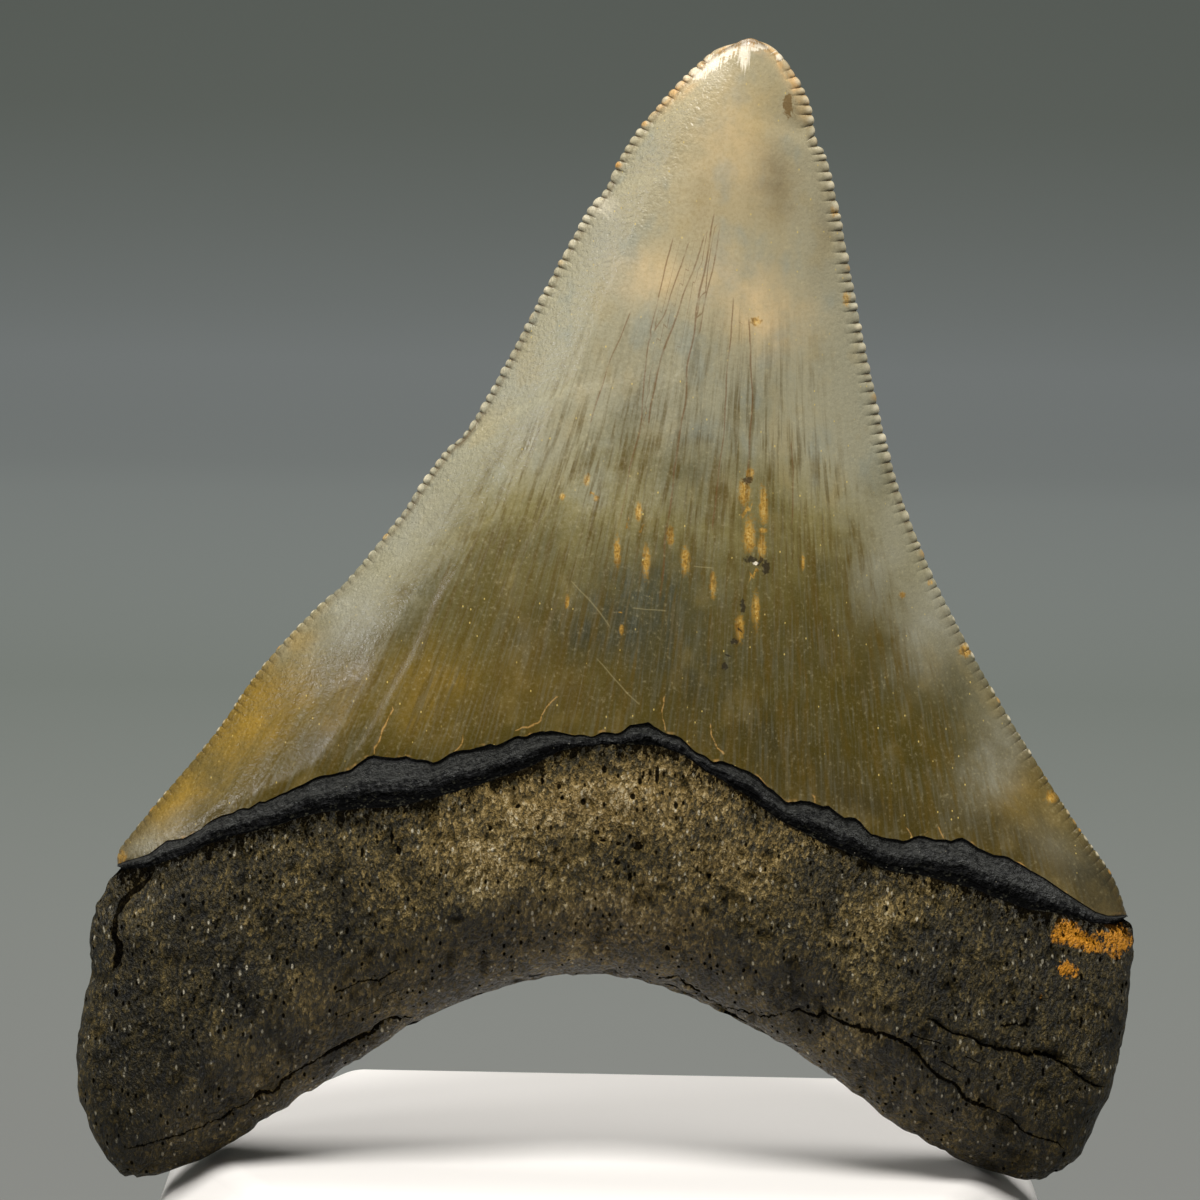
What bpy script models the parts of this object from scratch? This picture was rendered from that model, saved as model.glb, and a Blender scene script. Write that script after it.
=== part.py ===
"""A fossil shark tooth, a hundred millimetres tall, standing on a low white stand.

The tooth is one grown piece. Its outline lies in one plane, and each face rises from that outline.
A place on a face has two numbers. Share runs from 0 at the left outline to 1 at the right outline.
Rise runs up the tooth: 0 at the arch between the root's lobes, 1 at the root's upper border,
2 at the lower edge of the enamel and 3 at the tip, with the dark collar between 1 and 2.
Lengths are in millimetres until the meshes are made. X is right, Y is back and Z is up.
"""

import math

import bmesh
import bpy
import numpy as np
from mathutils import Vector

MM = 0.001

# Stand
STAND_HEIGHT = 30.0
TOP_HALF_WIDTH = 34.1
TOP_HALF_DEPTH = 29.5
SIDE_FLAT_HALF = 7.0
FRONT_FLAT_HALF = 23.6
RIM_OUT = 5.2
RIM_DROP = 4.2
STAND_SOFTNESS = 1.3
STAND_SOFT_STEPS = 3

# How the tooth leans back on the stand, and the height on it of the two places that rest
LEAN = math.radians(8.0)
REST_Y = -5.5
REST_UP_TOOTH = 2.2
REST_GAP = 0.17

# Outline of the tooth, from the lobes and corners upwards
ROOT_LEFT = (
    (-40.9, 0.0), (-42.3, 0.4), (-43.6, 1.6), (-45.7, 5.5), (-46.4, 7.5), (-46.5, 9.0),
    (-45.5, 17.8), (-45.4, 21.7), (-45.1, 23.3), (-44.2, 24.9), (-43.2, 27.1),
)  # fmt: skip
ROOT_RIGHT = (
    (38.1, 1.4), (39.4, 1.7), (41.0, 2.8), (42.2, 4.4), (44.3, 9.3), (45.7, 15.3), (46.4, 20.9),
    (46.5, 22.5), (46.3, 23.6), (45.7, 24.4),
)  # fmt: skip
LEFT_EDGE = (
    (-43.2, 27.5), (-43.1, 28.6), (-42.1, 30.1), (-34.5, 39.6), (-31.2, 44.6), (-26.2, 50.3),
    (-24.9, 51.5), (-23.8, 52.5), (-18.5, 59.2), (-17.5, 60.9), (-14.7, 64.8), (-13.6, 65.7),
    (-4.3, 83.2), (-2.5, 86.4), (-1.6, 87.4), (0.3, 91.4), (3.4, 95.5), (6.5, 98.8), (8.2, 100.2),
    (11.1, 101.1),
)  # fmt: skip
RIGHT_EDGE = (
    (45.7, 24.8), (44.5, 27.9), (41.2, 32.5), (35.6, 41.0), (31.6, 47.6), (28.3, 53.8),
    (26.2, 58.6), (24.4, 63.6), (21.5, 75.3), (19.1, 86.6), (17.8, 91.3), (17.2, 92.0),
    (16.4, 95.7), (14.1, 99.5), (12.7, 100.7), (11.1, 101.1),
)  # fmt: skip
ARCH = (
    (-40.9, 0.0), (-39.4, 0.2), (-35.5, 1.6), (-34.1, 2.3), (-18.0, 13.2), (-12.1, 16.3),
    (-5.6, 18.5), (-0.5, 19.0), (3.4, 18.4), (6.2, 17.5), (13.0, 14.3), (16.4, 12.4),
    (26.6, 5.5), (30.0, 3.7), (33.1, 2.4), (36.4, 1.5), (38.1, 1.4),
)  # fmt: skip

# Borders of the collar on the front: the root's upper border, then the lower edge of the enamel
FRONT_ROOT_TOP = (
    (-43.2, 27.1), (-42.4, 26.9), (-34.7, 29.9), (-26.3, 32.4), (-18.6, 33.4), (-15.3, 34.3),
    (-8.5, 36.5), (-3.0, 39.0), (0.5, 39.3), (4.2, 39.2), (6.0, 38.5), (14.7, 33.1), (18.1, 31.3),
    (24.9, 28.6), (27.4, 28.3), (37.5, 25.4), (43.7, 24.3), (45.7, 24.4),
)  # fmt: skip
FRONT_ENAMEL = (
    (-43.2, 27.5), (-42.3, 27.6), (-38.4, 29.9), (-34.8, 31.5), (-26.4, 35.5), (-20.4, 37.5),
    (-15.3, 37.5), (-9.7, 38.9), (-6.3, 40.2), (-3.0, 40.0), (0.4, 40.3), (3.3, 41.2),
    (8.8, 38.1), (12.1, 36.8), (15.2, 34.8), (18.9, 34.2), (22.6, 31.9), (31.0, 31.2),
    (34.6, 30.1), (43.4, 25.0), (45.7, 24.8),
)  # fmt: skip

# The same borders on the back, where the enamel reaches lower and the collar is a thin line
BACK_ROOT_TOP = (
    (-43.2, 27.1), (-34.0, 25.6), (-22.0, 26.2), (-10.0, 27.6), (1.0, 28.0), (12.0, 26.6),
    (24.0, 23.9), (35.0, 22.6), (45.7, 24.4),
)  # fmt: skip
BACK_ENAMEL = (
    (-43.2, 27.5), (-34.0, 26.7), (-22.0, 27.4), (-10.0, 28.8), (1.0, 29.2), (12.0, 27.8),
    (24.0, 25.1), (35.0, 23.7), (45.7, 24.8),
)  # fmt: skip

# Height of each face along the middle of the tooth, as rise and millimetres
FRONT_ROOT_HEIGHT = ((0.0, 9.2), (0.25, 11.6), (0.5, 12.6), (0.75, 12.2), (1.0, 11.0), (2.0, 10.2))
FRONT_CROWN_HEIGHT = (
    (2.0, 10.6), (2.15, 9.8), (2.3, 8.7), (2.5, 6.8), (2.7, 4.9), (2.85, 3.6), (3.0, 2.4),
)  # fmt: skip
BACK_ROOT_HEIGHT = ((0.0, 6.4), (0.3, 7.8), (0.6, 7.6), (1.0, 6.1), (2.0, 5.7))
BACK_CROWN_HEIGHT = ((2.0, 6.0), (2.2, 5.1), (2.5, 3.9), (2.8, 2.7), (3.0, 1.9))
HEIGHTS = {
    "front": (FRONT_ROOT_HEIGHT, FRONT_CROWN_HEIGHT),
    "back": (BACK_ROOT_HEIGHT, BACK_CROWN_HEIGHT),
}
LOBE_THINNING = 0.34
LOBE_POWER = 2.2

# Rounding of the root's rim, and how the crown thins to its cutting edges
RIM_WIDTH = 9.0
RIM_POWER = 2.2
NEAREST_POWER = 4.0
CROWN_POWER = {"front": (2.0, 0.8), "back": (4.0, 0.9)}
CROWN_SHARE = ((0.0, 0.0), (0.5, 0.0), (1.0, 0.5), (2.0, 0.72), (2.14, 1.0), (3.0, 1.0))
TIP_ROUNDING = 0.035

# Cutting edges: serrations in a strip along each edge of the crown
SERRATION_PITCH = 0.9
SERRATION_HEIGHT = 0.17
BEAD_HEIGHT = 0.09
EDGE_STRIP = 1.3
STRIP_START = 0.03
MOST_INSET = 0.3
BEAD_PLACE = 0.42
BEAD_DEPTH = 0.52
WORN_TIP = 0.05

# Gentle lumps of the root and folds of the crown: height, then how fast they turn along X and Z
ROOT_LUMPS = ((0.30, 0.21, 0.17, 0.4), (0.22, 0.47, -0.31, 1.9), (0.14, 0.86, 0.63, 3.1))
CROWN_FOLDS = ((0.13, 0.33, 0.03, 0.8), (0.07, 0.78, -0.05, 2.2))

# Small holes in the front of the root, as places in the tooth's plane
PITS = (
    (-1.3, 33.1), (4.0, 32.1), (2.3, 37.5), (-8.4, 35.1), (-10.6, 33.0), (3.3, 29.3),
    (6.8, 23.2), (-4.3, 36.0),
)  # fmt: skip
PIT_RADIUS = 0.55
PIT_DEPTH = 0.8

# Fineness of the faces: angles round the rim, then the spacing of columns and rows
RIM_ANGLES = (0, 16, 36, 57, 78)
COLUMN_SPACING = 2.5
ROOT_ROWS = (0.0, 0.014, 0.07, 0.16, 0.27, 0.38, 0.5, 0.62, 0.74, 0.87, 1.0)
COLLAR_ROWS = (1.5, 1.93, 2.0)
CROWN_ROWS = 27
CROWN_TOP_ROW = 2.985
COLUMN_STEPS = ((2.0, 1.0), (2.3, 0.7), (2.6, 0.42), (2.82, 0.24))

TOOTH_COLOUR = (0.16, 0.135, 0.10, 1.0)
TOOTH_ROUGHNESS = 0.45
STAND_COLOUR = (0.86, 0.85, 0.83, 1.0)
STAND_ROUGHNESS = 0.5

CURVE_STEPS = 10
LEAST_DISTANCE = 1e-6
NEARLY_ZERO = 1e-9
CREASE = math.radians(35)
STAND_CREASE = math.radians(20)


def smooth_curve(points):
    """Closely spaced places on a smooth curve through the points."""
    known = np.array(points, float)
    known = np.vstack([2 * known[0] - known[1], known, 2 * known[-1] - known[-2]])
    knots = np.sqrt(np.maximum(np.linalg.norm(np.diff(known, axis=0), axis=1), NEARLY_ZERO))
    knots = np.concatenate([[0.0], np.cumsum(knots)])
    places = []
    for i in range(len(known) - 3):
        a, b, c, d = known[i : i + 4]
        ta, tb, tc, td = knots[i : i + 4]
        t = np.linspace(tb, tc, CURVE_STEPS, endpoint=False)[:, None]
        ab = ((tb - t) * a + (t - ta) * b) / (tb - ta)
        bc = ((tc - t) * b + (t - tb) * c) / (tc - tb)
        cd = ((td - t) * c + (t - tc) * d) / (td - tc)
        abc = ((tc - t) * ab + (t - ta) * bc) / (tc - ta)
        bcd = ((td - t) * bc + (t - tb) * cd) / (td - tb)
        places.append(((tc - t) * abc + (t - tb) * bcd) / (tc - tb))
    return np.vstack([*places, known[-2]])


def length_share(curve):
    """How far along the curve each of its places is, from 0 to 1."""
    steps = np.linalg.norm(np.diff(curve, axis=0), axis=1)
    total = np.concatenate([[0.0], np.cumsum(steps)])
    return total / total[-1]


def along(curve, share):
    """The places at these shares of the curve's length."""
    known = length_share(curve)
    return np.stack([np.interp(share, known, curve[:, 0]), np.interp(share, known, curve[:, 1])], -1)


def across(curve, share):
    """The places at these shares of the way from the curve's first X to its last."""
    x = curve[0, 0] + (curve[-1, 0] - curve[0, 0]) * share
    return np.stack([x, np.interp(x, curve[:, 0], curve[:, 1])], -1)


def smooth_table(stations, at):
    """A value read from a few stations, with no corners between them."""
    curve = smooth_curve(stations)
    return np.interp(at, curve[:, 0], curve[:, 1])


ROOT_SIDES = (smooth_curve(ROOT_LEFT), smooth_curve(ROOT_RIGHT))
COLLAR_SIDES = (
    np.array([ROOT_LEFT[-1], LEFT_EDGE[0]]),
    np.array([ROOT_RIGHT[-1], RIGHT_EDGE[0]]),
)
CROWN_SIDES = (smooth_curve(LEFT_EDGE), smooth_curve(RIGHT_EDGE))
ARCH_CURVE = smooth_curve(ARCH)
TIP = np.array([LEFT_EDGE[-1], RIGHT_EDGE[-1]])
BORDERS = {
    "front": (ARCH_CURVE, smooth_curve(FRONT_ROOT_TOP), np.array(FRONT_ENAMEL), TIP),
    "back": (ARCH_CURVE, smooth_curve(BACK_ROOT_TOP), smooth_curve(BACK_ENAMEL), TIP),
}
SIDES = (ROOT_SIDES, COLLAR_SIDES, CROWN_SIDES)


def plane_place(face, share, rise):
    """Where a share across and a rise up the tooth lie in its plane."""
    part = min(int(rise), 2)
    up = rise - part
    low, high = BORDERS[face][part], BORDERS[face][part + 1]
    level = (1 - up) * across(low, share) + up * across(high, share)
    ends = np.array([0.0, 1.0])
    level_ends = (1 - up) * across(low, ends) + up * across(high, ends)
    left = along(SIDES[part][0], up) - level_ends[0]
    right = along(SIDES[part][1], up) - level_ends[1]
    return level + (1 - share)[:, None] * left + share[:, None] * right


def distance_to(curve, places):
    """The distance from each place to the nearest part of the curve."""
    start, step = curve[:-1], np.diff(curve, axis=0)
    gap = places[:, None, :] - start[None]
    reach = np.clip((gap * step).sum(-1) / np.maximum((step**2).sum(-1), NEARLY_ZERO), 0, 1)
    return np.linalg.norm(gap - reach[..., None] * step, axis=-1).min(1)


def rim_rounding(places):
    """The root's rise from its outline, from 0 on the outline to 1 a rim's width inside it."""
    left = np.vstack([ROOT_SIDES[0], CROWN_SIDES[0]])
    right = np.vstack([ROOT_SIDES[1], CROWN_SIDES[1]])
    near = sum(
        np.maximum(distance_to(curve, places), LEAST_DISTANCE) ** -NEAREST_POWER
        for curve in (left, right, ARCH_CURVE)
    )
    inside = np.minimum(near ** (-1 / NEAREST_POWER) / RIM_WIDTH, 1)
    return np.sqrt(1 - (1 - inside) ** RIM_POWER)


def ripple(waves, places):
    """A sum of slow waves over the tooth's plane."""
    x, z = places[:, 0], places[:, 1]
    return sum(h * np.sin(kx * x + kz * z + start) for h, kx, kz, start in waves)


def face_height(face, share, rise, places):
    """How far a face stands out from the plane of the outline."""
    side = np.abs(2 * share - 1)
    crown_power, edge_power = CROWN_POWER[face]
    lens = np.maximum(1 - side**crown_power, 0) ** edge_power
    root_stations, crown_stations = HEIGHTS[face]
    middle = smooth_table(root_stations if rise < 2 else crown_stations, rise)
    crown_share = np.interp(rise, *zip(*CROWN_SHARE))
    rounding = (1 - crown_share) * rim_rounding(places) + crown_share * lens
    thinning = 1 - (1 - crown_share) * LOBE_THINNING * side**LOBE_POWER
    tip_start = 3 - TIP_ROUNDING
    tip = math.sqrt(max(1 - (max(rise - tip_start, 0) / TIP_ROUNDING) ** 2, 0))
    relief = (1 - crown_share) * ripple(ROOT_LUMPS, places)
    relief = relief + crown_share * ripple(CROWN_FOLDS, places) * (3 - max(rise, 2))
    return (middle * thinning + relief) * rounding * tip


def rim_columns():
    """Shares across the root: close together round its rim and even between."""
    width = ARCH[-1][0] - ARCH[0][0]
    rim = [RIM_WIDTH * (1 - math.cos(math.radians(a))) / width for a in RIM_ANGLES]
    middle = int((1 - 2 * rim[-1]) * width / COLUMN_SPACING)
    even = np.linspace(rim[-1], 1 - rim[-1], middle + 1)[1:-1]
    return np.array([*rim, *even, *[1 - r for r in reversed(rim)]])


def crown_columns(rise, columns):
    """Shares across the crown, between the two strips, with fewer columns towards the tip."""
    left, right = along(CROWN_SIDES[0], rise - 2), along(CROWN_SIDES[1], rise - 2)
    start = min((rise - 2) / STRIP_START, 1)
    inset = min(EDGE_STRIP * start / np.linalg.norm(right - left), MOST_INSET)
    keep = [amount for level, amount in COLUMN_STEPS if rise >= level][-1]
    even = np.linspace(0, 1, round((len(columns) - 1) * keep) + 1)
    spread = columns if keep == 1.0 else even
    return inset + (1 - 2 * inset) * spread


class ToothMesh:
    """Vertices and faces of the tooth, where both faces share the vertices on the outline."""

    def __init__(self):
        self.places = []
        self.faces = []
        self.outline = {}

    def add(self, place, depth):
        self.places.append((place[0], depth, place[1]))
        return len(self.places) - 1

    def on_outline(self, key, place):
        if key not in self.outline:
            self.outline[key] = self.add(place, 0.0)
        return self.outline[key]

    def zip_chains(self, low, low_at, high, high_at):
        """Fills the band between two chains of vertices with triangles."""
        i = j = 0
        while i < len(low) - 1 or j < len(high) - 1:
            if i == len(low) - 1:
                move_high = True
            elif j == len(high) - 1:
                move_high = False
            else:
                lead = low_at[i + 1] - high_at[j + 1]
                level = abs(lead) <= NEARLY_ZERO
                move_high = low_at[i] < 0.5 if level else lead > 0
            if move_high:
                corners = (low[i], high[j], high[j + 1])
                j += 1
            else:
                corners = (low[i], high[j], low[i + 1])
                i += 1
            if len(set(corners)) == 3:
                self.faces.append(corners)

    def row(self, face, shares, rise):
        """One row of vertices across a face."""
        places = plane_place(face, shares, rise)
        sign = 1 if face == "front" else -1
        heights = sign * face_height(face, shares, rise, places)
        row = []
        for k, (place, height) in enumerate(zip(places, heights)):
            at_end = k in (0, len(shares) - 1)
            if rise == 0 or (at_end and rise <= 2):
                row.append(self.on_outline((rise, round(float(shares[k]), 6)), place))
            else:
                row.append(self.add(place, height))
        return row

    def body(self, face):
        """The face inside the two strips. It returns the chain that the strips are joined to."""
        columns = rim_columns()
        crown_rises = np.linspace(2, CROWN_TOP_ROW, CROWN_ROWS + 1)[1:]
        rows = [(rise, columns) for rise in (*ROOT_ROWS, *COLLAR_ROWS)]
        rows += [(rise, crown_columns(rise, columns)) for rise in crown_rises]
        made = [self.row(face, shares, rise) for rise, shares in rows]
        for low, high, (_, low_at), (_, high_at) in zip(made, made[1:], rows, rows[1:]):
            self.zip_chains(low, low_at, high, high_at)
        crown = [(row, rise) for row, (rise, _) in zip(made, rows) if rise >= 2]
        top, top_rise = crown[-1]
        chain = [row[0] for row, _ in crown[:-1]] + top + [row[-1] for row, _ in crown[-2::-1]]
        over = 3 - top_rise
        at = [rise - 2 for _, rise in crown[:-1]]
        at += list(np.linspace(1 - over, 1 + over, len(top)))
        at += [2 - (rise - 2) for _, rise in crown[-2::-1]]
        return chain, np.array(at)

    def edge(self, chain, chain_at, face):
        """The serrated strip round the crown, from the left corner over the tip to the right."""
        edge_at, base, outward, wave = serrated_edge()
        chain_places = np.array([self.places[v] for v in chain])
        inner = np.stack([np.interp(edge_at, chain_at, chain_places[:, k]) for k in range(3)], -1)
        sign = 1 if face == "front" else -1
        outer, beads = [], []
        for k in range(len(edge_at)):
            if k in (0, len(edge_at) - 1):
                outer.append(chain[0] if k == 0 else chain[-1])
                beads.append(outer[-1])
                continue
            tooth = base[k] + outward[k] * SERRATION_HEIGHT * wave[k]
            outer.append(self.on_outline(("edge", k), tooth))
            place = base[k] + (inner[k, ::2] - base[k]) * BEAD_PLACE
            depth = inner[k, 1] * BEAD_DEPTH + sign * BEAD_HEIGHT * wave[k]
            beads.append(self.add(place, depth))
        self.zip_chains(outer, edge_at, beads, edge_at)
        self.zip_chains(beads, edge_at, chain, chain_at)


def serrated_edge():
    """Two places for each serration, its crest and its notch, over the whole cutting edge."""
    at, places = [], []
    for curve, start, turn in ((CROWN_SIDES[0], 0, 1), (CROWN_SIDES[1], 2, -1)):
        total = np.linalg.norm(np.diff(curve, axis=0), axis=1).sum()
        halves = 2 * round(total / SERRATION_PITCH)
        share = np.arange(halves + 1) / halves
        at.append(start + turn * share)
        places.append(along(curve, share))
    at = np.concatenate([at[0], at[1][-2::-1]])
    base = np.concatenate([places[0], places[1][-2::-1]])
    tangent = np.gradient(base, axis=0)
    outward = np.stack([-tangent[:, 1], tangent[:, 0]], -1)
    outward /= np.linalg.norm(outward, axis=1)[:, None]
    wear = np.minimum(np.abs(1 - at) / WORN_TIP, 1)
    wave = np.where(np.arange(len(at)) % 2, 1.0, -1.0) * wear
    return at, base, outward, wave


def upright(place):
    """A place on the tooth, as right, towards the front and up it, set leaning on the stand."""
    x, front, up = place
    up -= REST_UP_TOOTH
    y = REST_Y + up * math.sin(LEAN) - front * math.cos(LEAN)
    z = STAND_HEIGHT + REST_GAP + up * math.cos(LEAN) + front * math.sin(LEAN)
    return (x * MM, y * MM, z * MM)


def sink_pits(mesh):
    """Small pointed holes. The vertex nearest to each place moves there and sinks in a small ring."""
    normal = Vector((0.0, -math.cos(LEAN), math.sin(LEAN)))
    inner = [v for v in mesh.verts if v.normal.dot(normal) > 0.5]
    for x, up in PITS:
        target = Vector(upright((x, 0.0, up)))
        gaps = [sideways(target - v.co, normal) for v in inner]
        vertex = inner[int(np.argmin([gap.length for gap in gaps]))]
        move = sideways(target - vertex.co, normal)
        vertex.co += move - normal * (move.dot(vertex.normal) / normal.dot(vertex.normal))
        facing = vertex.normal.copy()
        around = list(vertex.link_faces)
        for edge in list(vertex.link_edges):
            bmesh.utils.edge_split(edge, vertex, PIT_RADIUS * MM / edge.calc_length())
        ring = {edge.other_vert(vertex) for edge in vertex.link_edges}
        for face in around:
            bmesh.utils.face_split(face, *[v for v in face.verts if v in ring])
        vertex.co -= facing * PIT_DEPTH * MM


def sideways(gap, normal):
    """The part of a gap that lies along the tooth's plane."""
    return gap - normal * gap.dot(normal)


def plain_material(name, colour, roughness):
    """A plain surface of one colour."""
    material = bpy.data.materials.new(name)
    material.use_nodes = True
    shader = material.node_tree.nodes["Principled BSDF"]
    shader.inputs["Base Color"].default_value = colour
    shader.inputs["Roughness"].default_value = roughness
    shader.inputs["Metallic"].default_value = 0.0
    material.diffuse_color = colour
    return material


def add_object(name, mesh, material):
    """Puts a finished mesh in the scene as one object."""
    data = bpy.data.meshes.new(name)
    mesh.to_mesh(data)
    mesh.free()
    data.materials.append(material)
    body = bpy.data.objects.new(name, data)
    bpy.context.scene.collection.objects.link(body)
    return body


def make_tooth():
    """Root, collar and serrated crown in one closed body."""
    shape = ToothMesh()
    for face in ("front", "back"):
        chain, chain_at = shape.body(face)
        shape.edge(chain, chain_at, face)
    mesh = bmesh.new()
    vertices = [mesh.verts.new(upright(place)) for place in shape.places]
    for corners in shape.faces:
        mesh.faces.new([vertices[v] for v in corners])
    bmesh.ops.recalc_face_normals(mesh, faces=mesh.faces)
    mesh.normal_update()
    sink_pits(mesh)
    tooth = add_object("tooth", mesh, plain_material("tooth", TOOTH_COLOUR, TOOTH_ROUGHNESS))
    tooth.data.shade_smooth()
    tooth.data.set_sharp_from_angle(angle=CREASE)


def octagon(half_width, half_depth, side_flat, front_flat):
    """The eight corners of the stand's outline, anticlockwise from the right side's front."""
    right = [(half_width, -side_flat), (half_width, side_flat)]
    back = [(front_flat, half_depth), (-front_flat, half_depth)]
    return right + back + [(-x, -y) for x, y in right] + [(-x, -y) for x, y in back]


def make_stand():
    """An eight-sided block with a flat top, a sloping rim and softened edges."""
    top = octagon(TOP_HALF_WIDTH, TOP_HALF_DEPTH, SIDE_FLAT_HALF, FRONT_FLAT_HALF)
    slant = math.atan2(TOP_HALF_DEPTH - SIDE_FLAT_HALF, TOP_HALF_WIDTH - FRONT_FLAT_HALF)
    side_growth = RIM_OUT * math.tan((math.pi / 2 - slant) / 2)
    front_growth = RIM_OUT * math.tan(slant / 2)
    wall = octagon(
        TOP_HALF_WIDTH + RIM_OUT,
        TOP_HALF_DEPTH + RIM_OUT,
        SIDE_FLAT_HALF + side_growth,
        FRONT_FLAT_HALF + front_growth,
    )
    levels = ((wall, 0.0), (wall, STAND_HEIGHT - RIM_DROP), (top, STAND_HEIGHT))
    mesh = bmesh.new()
    rings = [[mesh.verts.new((x * MM, y * MM, z * MM)) for x, y in ring] for ring, z in levels]
    for low, high in zip(rings, rings[1:]):
        for k in range(len(low)):
            after = (k + 1) % len(low)
            mesh.faces.new((low[k], low[after], high[after], high[k]))
    mesh.faces.new(rings[0][::-1])
    mesh.faces.new(rings[-1])
    bmesh.ops.recalc_face_normals(mesh, faces=mesh.faces)
    stand = add_object("stand", mesh, plain_material("stand", STAND_COLOUR, STAND_ROUGHNESS))
    soften = stand.modifiers.new("Softened edges", "BEVEL")
    soften.width = STAND_SOFTNESS * MM
    soften.segments = STAND_SOFT_STEPS
    soften.limit_method = "ANGLE"
    soften.angle_limit = STAND_CREASE
    stand.data.shade_smooth()
    stand.data.set_sharp_from_angle(angle=STAND_CREASE)


def main():
    for old in list(bpy.data.objects):
        bpy.data.objects.remove(old, do_unlink=True)
    make_stand()
    make_tooth()


main()
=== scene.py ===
"""Looks of a fossil shark tooth on its white stand.

The tooth's fine surface is grown by the same rules as its solid. A place on a face has a share, from 0 at
the left outline to 1 at the right, and a rise: 0 at the arch between the lobes, 1 at the root's upper
border, 2 at the lower edge of the enamel and 3 at the tip, with the dark collar between 1 and 2.
Lengths are in millimetres until the meshes are made. Marks on the tooth are given as pixels of the
1200 x 1200 photograph, which on_tooth turns into places in the tooth's plane.
"""

import math

import bmesh
import bpy
import numpy as np
from mathutils import Matrix, Vector


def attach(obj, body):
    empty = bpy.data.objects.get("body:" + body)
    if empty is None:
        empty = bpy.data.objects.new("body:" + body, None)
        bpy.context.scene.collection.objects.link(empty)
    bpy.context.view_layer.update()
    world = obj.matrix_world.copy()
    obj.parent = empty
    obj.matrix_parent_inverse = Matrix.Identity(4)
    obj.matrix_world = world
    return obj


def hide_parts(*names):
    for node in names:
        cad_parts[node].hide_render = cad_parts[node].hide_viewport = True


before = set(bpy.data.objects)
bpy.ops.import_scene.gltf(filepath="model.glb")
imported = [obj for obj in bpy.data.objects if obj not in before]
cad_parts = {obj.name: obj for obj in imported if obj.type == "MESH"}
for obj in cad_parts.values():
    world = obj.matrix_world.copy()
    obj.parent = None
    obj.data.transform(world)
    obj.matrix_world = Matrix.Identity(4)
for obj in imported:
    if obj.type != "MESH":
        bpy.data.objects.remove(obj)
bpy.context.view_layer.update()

MM = 0.001

# Photograph: size of a pixel on the tooth, roll of the picture, and where its middle falls on the tooth
PHOTO_MIDDLE = 600.0
PIXEL = 0.088
ROLL = math.radians(1.1)
MIDDLE_ON_TOOTH = (-1.1715, 51.5488)
CAMERA_DISTANCE = 450.0
FRAME_WIDTH = 105.6
SENSOR_WIDTH = 36.0

# Stand
STAND_HEIGHT = 30.0
TOP_HALF_WIDTH = 34.1
TOP_HALF_DEPTH = 29.5
SIDE_FLAT_HALF = 7.0
FRONT_FLAT_HALF = 23.6
RIM_OUT = 5.2
RIM_DROP = 4.2
STAND_SOFTNESS = 1.5
STAND_SOFT_STEPS = 8
STAND_CREASE = math.radians(20)

# How the tooth leans back on the stand
LEAN = math.radians(8.0)
REST_Y = -5.5
REST_UP_TOOTH = 2.2
REST_GAP = 0.17

# Outline of the tooth, from the lobes and corners upwards
ROOT_LEFT = (
    (-40.9, 0.0), (-42.3, 0.4), (-43.6, 1.6), (-45.7, 5.5), (-46.4, 7.5), (-46.5, 9.0),
    (-45.5, 17.8), (-45.4, 21.7), (-45.1, 23.3), (-44.2, 24.9), (-43.2, 27.1),
)  # fmt: skip
ROOT_RIGHT = (
    (38.1, 1.4), (39.4, 1.7), (41.0, 2.8), (42.2, 4.4), (44.3, 9.3), (45.7, 15.3), (46.4, 20.9),
    (46.5, 22.5), (46.3, 23.6), (45.7, 24.4),
)  # fmt: skip
LEFT_EDGE = (
    (-43.2, 27.5), (-43.1, 28.6), (-42.1, 30.1), (-34.5, 39.6), (-31.2, 44.6), (-26.2, 50.3),
    (-24.9, 51.5), (-23.8, 52.5), (-18.5, 59.2), (-17.5, 60.9), (-14.7, 64.8), (-13.6, 65.7),
    (-4.3, 83.2), (-2.5, 86.4), (-1.6, 87.4), (0.3, 91.4), (3.4, 95.5), (6.5, 98.8), (8.2, 100.2),
    (11.1, 101.1),
)  # fmt: skip
RIGHT_EDGE = (
    (45.7, 24.8), (44.5, 27.9), (41.2, 32.5), (35.6, 41.0), (31.6, 47.6), (28.3, 53.8),
    (26.2, 58.6), (24.4, 63.6), (21.5, 75.3), (19.1, 86.6), (17.8, 91.3), (17.2, 92.0),
    (16.4, 95.7), (14.1, 99.5), (12.7, 100.7), (11.1, 101.1),
)  # fmt: skip
ARCH = (
    (-40.9, 0.0), (-39.4, 0.2), (-35.5, 1.6), (-34.1, 2.3), (-18.0, 13.2), (-12.1, 16.3),
    (-5.6, 18.5), (-0.5, 19.0), (3.4, 18.4), (6.2, 17.5), (13.0, 14.3), (16.4, 12.4),
    (26.6, 5.5), (30.0, 3.7), (33.1, 2.4), (36.4, 1.5), (38.1, 1.4),
)  # fmt: skip

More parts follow.
